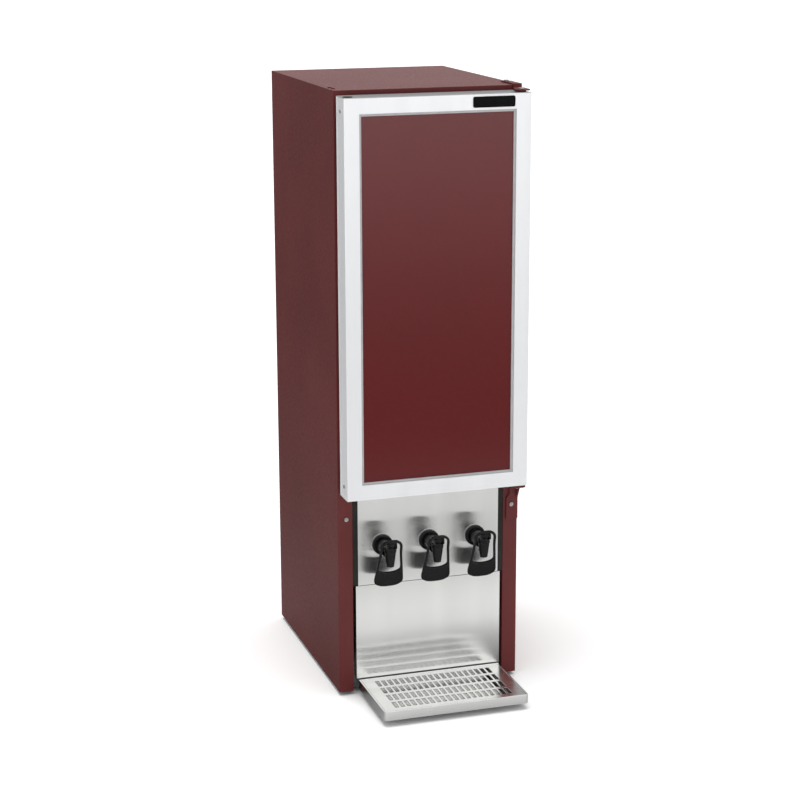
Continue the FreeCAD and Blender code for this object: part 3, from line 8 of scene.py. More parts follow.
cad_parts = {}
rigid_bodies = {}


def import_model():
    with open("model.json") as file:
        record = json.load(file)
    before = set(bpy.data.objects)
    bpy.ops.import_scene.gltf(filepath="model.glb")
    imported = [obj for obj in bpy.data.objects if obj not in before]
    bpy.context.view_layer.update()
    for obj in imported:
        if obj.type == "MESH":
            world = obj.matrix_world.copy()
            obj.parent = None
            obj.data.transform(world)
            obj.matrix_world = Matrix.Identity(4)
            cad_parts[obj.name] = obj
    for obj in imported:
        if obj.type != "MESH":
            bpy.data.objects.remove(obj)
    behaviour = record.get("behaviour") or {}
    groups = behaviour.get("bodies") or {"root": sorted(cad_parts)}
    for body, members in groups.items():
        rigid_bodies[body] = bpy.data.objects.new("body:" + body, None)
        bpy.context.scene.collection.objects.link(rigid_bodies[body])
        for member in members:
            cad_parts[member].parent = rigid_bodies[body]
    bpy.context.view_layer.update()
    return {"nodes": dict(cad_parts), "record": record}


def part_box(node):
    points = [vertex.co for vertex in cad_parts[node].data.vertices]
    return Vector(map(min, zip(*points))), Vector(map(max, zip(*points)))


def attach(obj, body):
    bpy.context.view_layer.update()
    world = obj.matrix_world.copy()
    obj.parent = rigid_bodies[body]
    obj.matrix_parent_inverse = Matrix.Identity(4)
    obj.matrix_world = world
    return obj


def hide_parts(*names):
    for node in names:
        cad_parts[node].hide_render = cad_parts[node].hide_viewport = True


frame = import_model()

MM = 0.001


def extent(*nodes):
    """The low and high corners of a box round CAD nodes, in millimetres."""
    boxes = [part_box(node) for node in nodes]
    low = [round(min(box[0][axis] for box in boxes) / MM, 2) for axis in range(3)]
    high = [round(max(box[1][axis] for box in boxes) / MM, 2) for axis in range(3)]
    return low, high


def middle(node):
    """The middle of a CAD node's box, in millimetres."""
    return [(low + high) / 2 for low, high in zip(*extent(node))]


# ---------------------------------------------------------------- finishes

def srgb(red, green, blue):
    """A colour written as 0-255 screen values, as the linear colour that a shader takes."""
    def linear(value):
        value /= 255
        return value / 12.92 if value <= 0.04045 else ((value + 0.055) / 1.055) ** 2.4
    return (linear(red), linear(green), linear(blue), 1.0)


# A Mix node's sockets by number, because its greys and its colours go by the same names.
MIX_INPUTS = {"FLOAT": (0, 2, 3), "RGBA": (0, 6, 7)}
MIX_OUTPUT = {"FLOAT": 0, "RGBA": 2}


class Nodes:
    """Short calls that add nodes to a shader tree."""

    def __init__(self, tree):
        self.tree = tree

    def node(self, kind, **settings):
        """Adds a node and gives it its settings."""
        made = self.tree.nodes.new(kind)
        for name, value in settings.items():
            setattr(made, name, value)
        return made

    def put(self, socket, value):
        """Links a socket to another one, or sets its own value."""
        if isinstance(value, bpy.types.NodeSocket):
            self.tree.links.new(value, socket)
        else:
            socket.default_value = value

    def feed(self, made, **inputs):
        """Puts values on a node's inputs, named with _ for each space, and returns the node."""
        for name, value in inputs.items():
            self.put(made.inputs[name.replace("_", " ")], value)
        return made

    def between(self, value, low, high, start=0.3, end=0.7):
        """From low to high as the value goes from start to end."""
        spread = self.feed(self.node("ShaderNodeMapRange"), Value=value, From_Min=start,
                           From_Max=end, To_Min=low, To_Max=high)
        return spread.outputs["Result"]

    def mix(self, kind, share, first, second):
        """From first to second as the share goes from 0 to 1: greys are FLOAT, colours RGBA."""
        made = self.node("ShaderNodeMix", data_type=kind)
        for socket, value in zip(MIX_INPUTS[kind], (share, first, second)):
            self.put(made.inputs[socket], value)
        return made.outputs[MIX_OUTPUT[kind]]

    def reckon(self, operation, *values, kind="ShaderNodeMath"):
        """The result of a Math node, or of a Vector Math node."""
        made = self.node(kind, operation=operation)
        for socket, value in zip(made.inputs, values):
            self.put(socket, value)
        return made.outputs[0]

    def axes(self, place):
        """The X, Y and Z of a point or a direction."""
        return self.feed(self.node("ShaderNodeSeparateXYZ"), Vector=place).outputs


class Finish(Nodes):
    """A material on one Principled shader, with short calls for the patterns that vary it."""

    def __init__(self, name, roughness, metallic=0.0, **sockets):
        self.material = bpy.data.materials.new(name)
        self.material.use_nodes = True
        super().__init__(self.material.node_tree)
        self.shader = self.tree.nodes["Principled BSDF"]
        self.feed(self.shader, Roughness=roughness, Metallic=metallic, **sockets)
        self.place = self.node("ShaderNodeTexCoord").outputs["Object"]

    def noise(self, size, stretch=(1, 1, 1), detail=3.0):
        """A soft grey pattern whose blobs are about size metres across, longer where stretch is more."""
        mapping = self.feed(self.node("ShaderNodeMapping"), Vector=self.place,
                            Scale=[1 / (size * s) for s in stretch])
        return self.feed(self.node("ShaderNodeTexNoise"), Vector=mapping.outputs["Vector"],
                         Scale=1.0, Detail=detail).outputs["Fac"]

    def cells(self, size):
        """Cells of about size metres across."""
        return self.feed(self.node("ShaderNodeTexVoronoi"), Vector=self.place, Scale=1 / size).outputs

    def colour(self, pattern, dark, light, start=0.3, end=0.7):
        """Dark where the pattern is at start or under it, light where it is at end or over it."""
        share = self.between(pattern, 0, 1, start, end)
        self.feed(self.shader, Base_Color=self.mix("RGBA", share, dark, light))

    def rough(self, pattern, low, high):
        """A roughness that goes from low to high with the pattern."""
        self.feed(self.shader, Roughness=self.between(pattern, low, high))

    def bump(self, pattern, depth, strength=1.0):
        """Relief that is depth metres deep."""
        relief = self.feed(self.node("ShaderNodeBump"), Height=pattern, Distance=depth,
                           Strength=strength)
        self.feed(self.shader, Normal=relief.outputs["Normal"])

    def paint_shade_inside(self, low, high, shade):
        """Paints shade into the colour inside a box, given in millimetres: darkens it to a share of
        itself there.
        """
        centre = [(l + h) / 2 * MM for l, h in zip(low, high)]
        reach = [(h - l) / 2 * MM for l, h in zip(low, high)]
        off = self.place
        for operation, *by in (("SUBTRACT", centre), ("DIVIDE", reach), ("ABSOLUTE",)):
            off = self.reckon(operation, off, *by, kind="ShaderNodeVectorMath")
        x, y, z = self.axes(off)
        far = self.reckon("MAXIMUM", self.reckon("MAXIMUM", x, y), z)
        darker = self.node("ShaderNodeVectorMath", operation="SCALE")
        self.put(darker.inputs["Vector"], self.shader.inputs["Base Color"].links[0].from_socket)
        self.put(darker.inputs["Scale"], self.between(far, shade, 1.0, *BOX_EDGE))
        self.feed(self.shader, Base_Color=darker.outputs["Vector"])


def powder_coat(name, dark, light, roughness=0.5, peel=0.00008, shine=0.32):
    """Baked powder paint: a fine orange peel, and a shade that drifts over the sheet."""
    finish = Finish(name, roughness, Specular_IOR_Level=shine)
    finish.colour(finish.noise(0.22), dark, light)
    finish.rough(finish.noise(0.004), roughness - 0.05, roughness + 0.06)
    finish.bump(finish.noise(0.0016, detail=2), peel, 0.5)
    return finish.material


def brushed_metal(name, dark, light, roughness, grain, anisotropy=0.0, relief=0.000012, metallic=1.0,
                  painted_shade_box=None):
    """Sheet metal with fine lines along the long way of grain, and painted shade inside the box given
    for it.
    """
    finish = Finish(name, roughness, metallic, Anisotropic=anisotropy)
    lines = finish.noise(0.0007, grain, detail=4)
    finish.colour(finish.noise(0.03, grain, detail=4), dark, light)
    finish.rough(lines, roughness - 0.02, roughness + 0.02)
    finish.bump(lines, relief, 0.8)
    if painted_shade_box:
        finish.paint_shade_inside(*painted_shade_box)
    if anisotropy:
        across = finish.feed(finish.node("ShaderNodeCombineXYZ"), X=1.0)
        finish.feed(finish.shader, Tangent=across.outputs["Vector"])
    return finish.material


def moulded_plastic(name, dark, light, roughness, texture=0.0006, relief=0.00004, **sockets):
    """Moulded plastic or rubber with the fine texture of its mould and a slight bloom."""
    finish = Finish(name, roughness, **sockets)
    finish.colour(finish.noise(0.02, detail=5), dark, light)
    finish.rough(finish.noise(0.006), roughness - 0.06, roughness + 0.08)
    finish.bump(finish.noise(texture, detail=2), relief, 0.6)
    return finish.material


def plated_steel(name, dark, light, roughness, spangle=0.006):
    """Zinc-plated or galvanised steel, with its spangle in tone and gloss."""
    finish = Finish(name, roughness, 1.0)
    tint = finish.feed(finish.node("ShaderNodeSeparateColor"), Color=finish.cells(spangle)["Color"])
    finish.colour(tint.outputs["Red"], dark, light, 0.0, 1.0)
    finish.rough(finish.noise(spangle), roughness - 0.08, roughness + 0.1)
    finish.bump(finish.noise(spangle / 6), 0.00001, 0.6)
    return finish.material


def foamed(name, dark, light):
    """Blown polyurethane foam with open cells on its skin."""
    finish = Finish(name, 0.9)
    finish.colour(finish.noise(0.03), dark, light)
    finish.bump(finish.cells(1 / 450)["Distance"], 0.0006, 0.8)
    return finish.material


# How much longer a brushed line is than it is wide, along X and along Z.
ALONG_X = (60, 1, 1)
ALONG_Z = (1, 1, 60)

# Boxes in millimetres whose inside gets painted shade, each with the share of the colour left there.
BOX_EDGE = 0.998, 1.002
# Painted shade on the top face of the door's top rail, which is darker only because the light falls
# mostly from the front.
TOP_RAIL_SHADE = ((-143, -161.5, 923.3), (143, -119, 924.6), 0.4)
# Painted shade inside the drip tray, within its walls and under its grille.
TRAY_INSIDE_SHADE = ((-113.4, -249.9, 10.9), (113.4, -118.1, 23.6), 0.8)

finishes = {
    "burgundy_paint": powder_coat("burgundy powder coat", srgb(92, 31, 30), srgb(101, 37, 36)),
    "door_insert_paint": powder_coat("door insert paint", srgb(87, 3, 5), srgb(92, 6, 8),
                                     roughness=0.2, peel=0.00001, shine=0.5),
    "frame_aluminium": brushed_metal("satin anodised aluminium", srgb(230, 231, 233),
                                     srgb(236, 237, 239), 0.36, ALONG_Z, relief=0.000006,
                                     metallic=0.35, painted_shade_box=TOP_RAIL_SHADE),
    "bead_plastic": moulded_plastic("grey bead plastic", srgb(166, 163, 165),
                                    srgb(180, 177, 179), 0.5),
    "badge_black": moulded_plastic("badge black lacquer", srgb(5, 5, 6), srgb(9, 9, 10), 0.16,
                                   relief=0.000004, Specular_IOR_Level=0.05),
    "brushed_stainless": brushed_metal("brushed stainless panel", srgb(213, 213, 211),
                                       srgb(219, 219, 217), 0.18, ALONG_Z, anisotropy=1.0,
                                       relief=0.000001),
    "tray_stainless": brushed_metal("tray stainless", srgb(230, 230, 229), srgb(242, 242, 241),
                                    0.22, ALONG_X, anisotropy=0.3, relief=0.000008,
                                    painted_shade_box=TRAY_INSIDE_SHADE),
    "tap_plastic": moulded_plastic("black tap plastic", srgb(6, 6, 6), srgb(12, 12, 12), 0.3,
                                   relief=0.00001, Specular_IOR_Level=0.22),
    "trim_plastic": moulded_plastic("black trim plastic", srgb(22, 24, 21), srgb(34, 35, 32), 0.5,
                                    Specular_IOR_Level=0.25),
    "gasket_rubber": moulded_plastic("door gasket", srgb(22, 22, 23), srgb(36, 36, 37), 0.6,
                                     Sheen_Weight=0.2),
    "seal_rubber": moulded_plastic("seal rubber", srgb(28, 28, 29), srgb(46, 46, 47), 0.65,
                                   Sheen_Weight=0.2),
    "liner_plastic": moulded_plastic("white liner plastic", srgb(232, 234, 234),
                                     srgb(236, 238, 238), 0.4, texture=0.0012, relief=0.00003),
    "foam": foamed("insulating foam", srgb(206, 184, 120), srgb(226, 206, 146)),
    "galvanised_steel": plated_steel("galvanised steel", srgb(150, 154, 158),
                                     srgb(196, 200, 204), 0.38),
    "screw_steel": plated_steel("zinc plated screws", srgb(168, 168, 166), srgb(204, 204, 202),
                                0.3, spangle=0.002),
    "hinge_steel": plated_steel("hinge steel", srgb(150, 150, 150), srgb(186, 186, 186), 0.34,
                                spangle=0.003),
    "shelf_wire": moulded_plastic("white coated wire", srgb(222, 224, 226), srgb(238, 240, 242),
                                  0.32, texture=0.002, relief=0.00006, Coat_Weight=0.4),
    "evaporator_aluminium": brushed_metal("evaporator aluminium", srgb(190, 194, 197),
                                          srgb(214, 217, 220), 0.34, ALONG_X),
    "compressor_black": powder_coat("compressor black paint", srgb(20, 20, 21), srgb(34, 34, 36),
                                    roughness=0.38, peel=0.00025),
    "condenser_black": powder_coat("condenser black paint", srgb(18, 18, 19), srgb(30, 30, 32),
                                   peel=0.0001),
    "drier_copper": brushed_metal("drier copper", srgb(176, 106, 74), srgb(204, 132, 96), 0.3,
                                  ALONG_Z),
    "foot_plastic": moulded_plastic("black foot plastic", srgb(22, 22, 22), srgb(38, 38, 38), 0.6),
    "knob_plastic": moulded_plastic("white knob plastic", srgb(222, 223, 222),
                                    srgb(236, 237, 236), 0.4),
}
slot_of_node = {part["node"]: part["material_slot"] for part in frame["record"]["subparts"]}
body_of_node = {node: body for body, nodes in frame["record"]["behaviour"]["bodies"].items()
                for node in nodes}


# ---------------------------------------------------------------- making pieces

def smooth(bm, crease):
    """Shades the faces smooth, apart from edges that turn by more than crease degrees."""
    limit = math.radians(crease)
    for face in bm.faces:
        face.smooth = True
    for edge in bm.edges:
        edge.smooth = edge.is_manifold and edge.calc_face_angle(0) < limit


def as_mesh(name, bm, crease=32):
    """The mesh of bm, shaded; bm is freed."""
    smooth(bm, crease)
    mesh = bpy.data.meshes.new(name)
    bm.to_mesh(mesh)
    bm.free()
    return mesh


def piece(node, bm, crease):
    """Puts a mesh in metres in a CAD node's place, on the node's body and with its slot's finish."""
    name = node + "_finished"
    mesh = as_mesh(name, bm, crease)
    mesh.materials.append(finishes[slot_of_node[node]])
    made = bpy.data.objects.new(name, mesh)
    bpy.context.scene.collection.objects.link(made)
    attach(made, body_of_node[node])
    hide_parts(node)
    hold = made.modifiers.new("even shading", "WEIGHTED_NORMAL")
    hold.keep_sharp = True


# Points closer than this many millimetres become one, in a mesh built here and in a CAD mesh, and
# CAD faces that turn by fewer degrees than this become one.
WELD, CAD_WELD, CAD_FLAT = 0.0005, 0.002, 0.6


def remade(node, bm, crease=38):
    """Puts a mesh built in millimetres in the place of a CAD node."""
    bmesh.ops.remove_doubles(bm, verts=bm.verts, dist=WELD)
    bmesh.ops.recalc_face_normals(bm, faces=bm.faces)
    bmesh.ops.scale(bm, vec=(MM, MM, MM), verts=bm.verts)
    piece(node, bm, crease)


def merged(node):
    """A copy of a CAD node's mesh with its triangles joined up and its flat faces made whole."""
    bm = bmesh.new()
    bm.from_mesh(frame["nodes"][node].data)
    bmesh.ops.remove_doubles(bm, verts=bm.verts, dist=CAD_WELD * MM)
    bmesh.ops.dissolve_limit(bm, angle_limit=math.radians(CAD_FLAT), verts=bm.verts,
                             edges=bm.edges)
    return bm


def softened(node, edge, crease=32):
    """The CAD node again with its edges rounded by edge millimetres, in place of the node."""
    bm = merged(node)
    limit = math.radians(crease)
    sharp = [e for e in bm.edges if e.is_manifold and e.calc_face_angle(0) > limit]
    bmesh.ops.bevel(bm, geom=sharp, offset=edge * MM, offset_type="OFFSET", segments=2,
                    profile=0.5, affect="EDGES", clamp_overlap=True)
    piece(node, bm, crease)


# ---------------------------------------------------------------- shapes in millimetres

def rounded(loop, radius, steps=4):
    """The loop with each corner curved, from radius before it to radius after it.

    A list of radii gives each corner its own."""
    curve = []
    reaches = radius if isinstance(radius, list) else [radius] * len(loop)
    for i, corner in enumerate(loop):
        corner = Vector(corner)
        before = Vector(loop[i - 1]) - corner
        after = Vector(loop[(i + 1) % len(loop)]) - corner
        reach = min(reaches[i], before.length * 0.49, after.length * 0.49)
        if reach < 0.01:
            curve.append(corner)
            continue
        start = corner + before.normalized() * reach
        end = corner + after.normalized() * reach
        for step in range(steps + 1):
            t = step / steps
            curve.append(start * (1 - t) ** 2 + corner * 2 * t * (1 - t) + end * t ** 2)
    return curve


def oblong(left, low, right, high, radius=0.0, steps=4):
    """A rectangle with round corners."""
    return rounded([(left, low), (right, low), (right, high), (left, high)], radius, steps)


def full_turn(sides):
    """Evenly spaced angles round a circle."""
    return [2 * math.pi * i / sides for i in range(sides)]


def circle(x, y, radius, sides=32):
    """A circle's points."""
    return [Vector((x + radius * math.cos(turn), y + radius * math.sin(turn)))
            for turn in full_turn(sides)]


def mirror(half):
    """A loop from its right half, which runs from the head down."""
    return [Vector(p) for p in half] + [Vector((-x, y)) for x, y in reversed(half)]


def sheet(loops, thickness, edge, steps=2):
    """A flat mesh with holes and rounded edges, on the XY plane from 0 up to its thickness."""
    flat = bpy.data.curves.new("sheet", "CURVE")
    flat.dimensions = "2D"
    flat.fill_mode = "BOTH"
    flat.extrude = thickness / 2 - edge
    flat.bevel_depth = edge
    flat.bevel_resolution = steps
    flat.offset = -edge
    for loop in loops:
        line = flat.splines.new("POLY")
        line.points.add(len(loop) - 1)
        for point, (x, y) in zip(line.points, loop):
            point.co = (x, y, 0, 1)
        line.use_cyclic_u = True
    holder = bpy.data.objects.new("sheet", flat)
    mesh = bpy.data.meshes.new_from_object(holder)
    bpy.data.objects.remove(holder)
    bpy.data.curves.remove(flat)
    mesh.transform(Matrix.Translation((0, 0, thickness / 2)))
    return mesh


def add(bm, mesh, place=Matrix()):
    """Adds a mesh to bm at a place, and drops the mesh."""
    mesh.transform(place)
    bm.from_mesh(mesh)
    bpy.data.meshes.remove(mesh)


def upright(x=0.0, y=0.0, z=0.0):
    """Leaves a flat mesh lying, with its thickness along Z."""
    return Matrix.Translation((x, y, z))


def facing(x=0.0, y=0.0, z=0.0, tilt=0.0):
    """Turns a flat mesh up to face the front, leaning back by tilt degrees."""
    return Matrix.Translation((x, y, z)) @ Matrix.Rotation(math.radians(90 + tilt), 4, "X")


def sideways(x=0.0, y=0.0, z=0.0):
    """Lays a flat mesh on the YZ plane, with its thickness along X."""
    turn = Matrix(((0, 0, 1, 0), (1, 0, 0, 0), (0, 1, 0, 0), (0, 0, 0, 1)))
    return Matrix.Translation((x, y, z)) @ turn


def pointing(axis, at):
    """Stands a mesh's Z axis along axis."""
    turn = Vector(axis).to_track_quat("Z", "Y").to_matrix().to_4x4()
    return Matrix.Translation(at) @ turn


def turned(bm, place, outline, sides=32):
    """Adds a round body about place's Z axis, from the (height, radius) points that close round it."""
    rings = []
    for height, radius in outline:
        ring = circle(0, 0, radius, sides if radius > 0.001 else 1)
        rings.append([bm.verts.new(place @ Vector((*point, height))) for point in ring])
    skin(bm, rings, sides)


def skin(bm, rings, sides):
    """Joins each ring of points to the next one, and the last to the first."""
    for low, high in zip(rings, rings[1:] + rings[:1]):
        if len(low) == len(high) == 1:
            continue
        for i in range(sides):
            j = (i + 1) % sides
            corners = [low[i % len(low)], low[j % len(low)],
                       high[j % len(high)], high[i % len(high)]]
            bm.faces.new(list(dict.fromkeys(corners)))


def stacked(bm, loops):
    """A closed body through loops of as many points each, with flat ends."""
    rings = [[bm.verts.new(point) for point in loop] for loop in loops]
    for low, high in zip(rings, rings[1:]):
        for i in range(len(low)):
            j = (i + 1) % len(low)
            bm.faces.new([low[i], low[j], high[j], high[i]])
    bm.faces.new(rings[0])
    bm.faces.new(rings[-1])


def tube(bm, path, radius, across, sides=12):
    """A round tube along a flat path; across is square to the path's plane."""
    across = Vector(across)
    loops = []
    for i, point in enumerate(path):
        ahead = path[min(i + 1, len(path) - 1)] - path[max(i - 1, 0)]
        side = across.cross(ahead).normalized()
        loops.append([point + (side * math.cos(turn) + across * math.sin(turn)) * radius
                      for turn in full_turn(sides)])
    stacked(bm, loops)


# ---------------------------------------------------------------- round CAD pieces, made round

LEVEL = 0.02     # heights closer than this are the same


def islands(bm):
    """The separate solids of a mesh, each as a list of its points, in the mesh's own order."""
    seen = set()
    found = []
    for first in bm.verts:
        if first in seen:
            continue
        seen.add(first)
        group = [first]
        for point in group:
            for link in point.link_edges:
                for end in link.verts:
                    if end not in seen:
                        seen.add(end)
                        group.append(end)
        found.append(group)
    return found


def round_outline(group):
    """The axis (0, 1 or 2) and centre of a solid that is all round, and its two rows of slants.

    A slant is a (height, radius) end and the next one. The first row runs up the outside and the
    second one up the inside, where the solid is hollow."""
    low = [min(point.co[k] for point in group) / MM for k in range(3)]
    high = [max(point.co[k] for point in group) / MM for k in range(3)]
    spans = [h - l for l, h in zip(low, high)]
    axis = min(range(3), key=lambda k: abs(spans[k - 1] - spans[k - 2]))
    centre = Vector([(l + h) / 2 for l, h in zip(low, high)])

    def place(point):
        """A corner's height along the axis and its distance from it."""
        out = Vector(point.co) / MM - centre
        out[axis] = 0
        return round(point.co[axis] / MM - centre[axis], 2), round(out.length, 1)

    corners = {}
    slants = set()
    for point in group:
        corners[place(point)] = corners.get(place(point), 0) + 1
        for link in point.link_edges:
            ends = sorted(place(end) for end in link.verts)
            if ends[0][0] != ends[1][0]:
                slants.add(tuple(ends))

    def flat(end):
        """The same end with the radius to its polygon's flats."""
        return (end[0], end[1] * math.cos(math.pi / max(corners[end], 4)))

    outer, inner = [], []
    at = min(start[0] for start, end in slants)
    for start, end in sorted(slants, key=lambda s: (s[0][0], -s[0][1])):
        if abs(start[0] - at) < LEVEL:
            outer.append((flat(start), flat(end)))
            at = end[0]
        else:
            inner.append((flat(start), flat(end)))
    return axis, centre, outer, inner


def made_round(node, edge, sides=32):
    """Every solid of a CAD node turned again with true rounds and edges softened by edge."""
    bm = bmesh.new()
    model = merged(node)
    for group in islands(model):
        axis, centre, outer, inner = round_outline(group)
        outline = [end for slant in outer for end in slant]
        low, high = outline[0][0], outline[-1][0]
        if not inner:
            outline = [(low, 0)] + outline + [(high, 0)]
        elif inner[-1][1][0] < high - LEVEL:
            outline += [(high, 0), (inner[-1][1][0], 0)]
        outline += [end for slant in reversed(inner) for end in reversed(slant)]
        if inner and inner[0][0][0] > low + LEVEL:
            outline += [(inner[0][0][0], 0), (low, 0)]
        ends = [Vector(end) for i, end in enumerate(outline) if end != outline[i - 1]]
        curve = rounded(ends, [edge if end[1] > 0.01 else 0.0 for end in ends], 2)
        turned(bm, pointing([k == axis for k in range(3)], centre), curve, sides)
    remade(node, bm)


# ---------------------------------------------------------------- repeated pieces

def repeat_group():
    """Nodes that put an item on every point, turned and sized by the points' own values."""
    tree = bpy.data.node_groups.new("repeat", "GeometryNodeTree")
    for name, kind in (("Points", "Geometry"), ("Item", "Object"), ("Finish", "Material")):
        tree.interface.new_socket(name, in_out="INPUT", socket_type="NodeSocket" + kind)
    tree.interface.new_socket("Geometry", in_out="OUTPUT", socket_type="NodeSocketGeometry")
    new, link = tree.nodes.new, tree.links.new
    given, end = new("NodeGroupInput"), new("NodeGroupOutput")
    item = new("GeometryNodeObjectInfo")
    item.transform_space = "ORIGINAL"
    link(given.outputs["Item"], item.inputs["Object"])
    put = new("GeometryNodeInstanceOnPoints")
    link(given.outputs["Points"], put.inputs["Points"])
    link(item.outputs["Geometry"], put.inputs["Instance"])
    for value, socket in (("turn", "Rotation"), ("size", "Scale")):
        own = new("GeometryNodeInputNamedAttribute")
        own.data_type = "FLOAT_VECTOR"
        own.inputs["Name"].default_value = value
        source = own.outputs["Attribute"]
        if socket == "Rotation":
            angles = new("FunctionNodeEulerToRotation")
            link(source, angles.inputs[0])
            source = angles.outputs[0]
        link(source, put.inputs[socket])
    plain = new("GeometryNodeRealizeInstances")
    link(put.outputs["Instances"], plain.inputs["Geometry"])
    dress = new("GeometryNodeSetMaterial")
    link(plain.outputs["Geometry"], dress.inputs["Geometry"])
    link(given.outputs["Finish"], dress.inputs["Material"])
    link(dress.outputs["Geometry"], end.inputs["Geometry"])
    return tree


REPEAT = repeat_group()


def repeated(item, places, slot):
    """A plain mesh with the item, drawn along Z, at each place: its point, axis and size."""
    scene = bpy.context.scene.collection.objects
    model = bpy.data.objects.new("item", item)
    points = bpy.data.meshes.new("places")
    points.from_pydata([tuple(at) for at, axis, size in places], [], [])
    host = bpy.data.objects.new("places", points)
    scene.link(model)
    scene.link(host)
    turns = points.attributes.new("turn", "FLOAT_VECTOR", "POINT")
    sizes = points.attributes.new("size", "FLOAT_VECTOR", "POINT")
    for i, (at, axis, size) in enumerate(places):
        turns.data[i].vector = Vector(axis).to_track_quat("Z", "Y").to_euler()
        sizes.data[i].vector = size
    nodes = host.modifiers.new("repeat", "NODES")
    nodes.node_group = REPEAT
    for socket in REPEAT.interface.items_tree:
        if socket.name == "Item":
            nodes[socket.identifier] = model
        elif socket.name == "Finish":
            nodes[socket.identifier] = finishes[slot]
    seen = host.evaluated_get(bpy.context.evaluated_depsgraph_get())
    mesh = bpy.data.meshes.new_from_object(seen)
    for thing in (host, model):
        bpy.data.objects.remove(thing)
    return mesh


for node, thing in frame["nodes"].items():
    thing.data.materials.clear()
    thing.data.materials.append(finishes[slot_of_node[node]])


# ---------------------------------------------------------------- floor, light and camera

FLOOR_HALF, FLOOR_REACH = 60.0, 12.0
FLOOR_WHITE, FLOOR_BOUNCE = 1.14, 1.16
# The floor's tone in reflections at a number of places along Y, in metres: painted shade and light, with
# a painted shadow beside and in front of the drip tray, and lighter and darker stretches further out.
FLOOR_REFLECTED_SHADE = [(-FLOOR_REACH, 1.8), (-8.5, 1.7), (-5.0, 0.85), (-3.0, 0.4), (-1.34, 0.2),
               (-1.2, 0.88), (-0.7, 0.62), (-0.5, 0.95), (-0.38, 1.0), (-0.29, 0.6), (-0.2, 0.3),
               (-0.08, 0.25), (0.3, 0.44), (1.0, 0.22), (2.5, 0.1), (FLOOR_REACH, 0.14)]

# The room in reflections: its levels, and the span of a direction's X, Y or Z over which each
# level goes over into the next one.
ROOM_LEFT, ROOM_RIGHT, TURN_RIGHT = 0.25, 1.0, (-0.5, 0.2)
ROOM_SIDES, ROOM_TOP, TURN_UP = 0.93, 0.9, (0.1, 0.9)
BACK_LOW, BACK_HIGH, TURN_BACK, BACK_RISE = 1.6, 0.3, (0.6, 0.8), (0.18, 0.34)
FILL_LOW, FILL_HIGH = 0.34, 0.42

CAMERA_PLACE, CAMERA_AIM = Vector((-0.9172, -2.8871, 1.1975)), Vector((0.0093, 0.0605, 0.4194))
CAMERA_LENS, CAMERA_ROLL = 89.556, -0.2009


def floor():
    """A pale floor that keeps the object's shadow; in reflections it carries painted shade and light
    that change along Y.
    """
    bm = bmesh.new()
    bmesh.ops.create_grid(bm, x_segments=8, y_segments=8, size=FLOOR_HALF)
    ground = bpy.data.objects.new("floor", as_mesh("floor", bm))
    bpy.context.scene.collection.objects.link(ground)
    paint = Finish("pale floor", 1.0, Specular_IOR_Level=0.0)
    along = paint.between(paint.axes(paint.place)["Y"], 0.0, 1.0, -FLOOR_REACH, FLOOR_REACH)
    tones = paint.feed(paint.node("ShaderNodeFloatCurve"), Value=along)
    curve = tones.mapping
    curve.use_clip = False
    points = curve.curves[0].points
    places = [((y / FLOOR_REACH + 1) / 2, tone) for y, tone in FLOOR_REFLECTED_SHADE]
    points[0].location, points[1].location = places[0], places[-1]
    for place in places[1:-1]:
        points.new(*place)
    for point in points:
        point.handle_type = "VECTOR"
    curve.update()
    ray = paint.node("ShaderNodeLightPath").outputs
    tone = paint.mix("FLOAT", ray["Is Glossy Ray"], FLOOR_BOUNCE, tones.outputs["Value"])
    tone = paint.mix("FLOAT", ray["Is Camera Ray"], tone, FLOOR_WHITE)
    grey = paint.feed(paint.node("ShaderNodeCombineColor"), Red=tone, Green=tone, Blue=tone)
    paint.feed(paint.shader, Base_Color=grey.outputs["Color"])
    ground.data.materials.append(paint.material)


def world():
    """White behind the object, even fill on its surfaces, and a room with dim parts in reflections."""
    sky = bpy.data.worlds.new("studio")
    sky.use_nodes = True
    bpy.context.scene.world = sky
    light = Nodes(sky.node_tree)
    x, y, z = light.axes(light.node("ShaderNodeTexCoord").outputs["Generated"])
    across = light.between(x, ROOM_LEFT, ROOM_RIGHT, *TURN_RIGHT)
    room = light.reckon("MULTIPLY", across, light.between(z, ROOM_SIDES, ROOM_TOP, *TURN_UP))
    back = light.mix("FLOAT", light.between(y, 0.0, 1.0, *TURN_BACK), 1.0,
                     light.between(z, BACK_LOW, BACK_HIGH, *BACK_RISE))
    room = light.reckon("MULTIPLY", room, back)
    ray = light.node("ShaderNodeLightPath").outputs
    fill = light.between(z, FILL_LOW, FILL_HIGH, 0.0, 1.0)
    level = light.mix("FLOAT", ray["Is Glossy Ray"], fill, room)
    seen = light.reckon("MAXIMUM", ray["Is Camera Ray"], ray["Is Transmission Ray"])
    light.feed(sky.node_tree.nodes["Background"], Color=(1, 1, 1, 1),
               Strength=light.reckon("MAXIMUM", seen, level))


def lamp(name, towards, strength, softness):
    """A far, soft lamp that shines along towards; softness is its width in degrees."""
    light = bpy.data.lights.new(name, "SUN")
    light.energy = strength
    light.angle = math.radians(softness)
    holder = bpy.data.objects.new(name, light)
    holder.rotation_euler = Vector(towards).to_track_quat("-Z", "Y").to_euler()
    bpy.context.scene.collection.objects.link(holder)


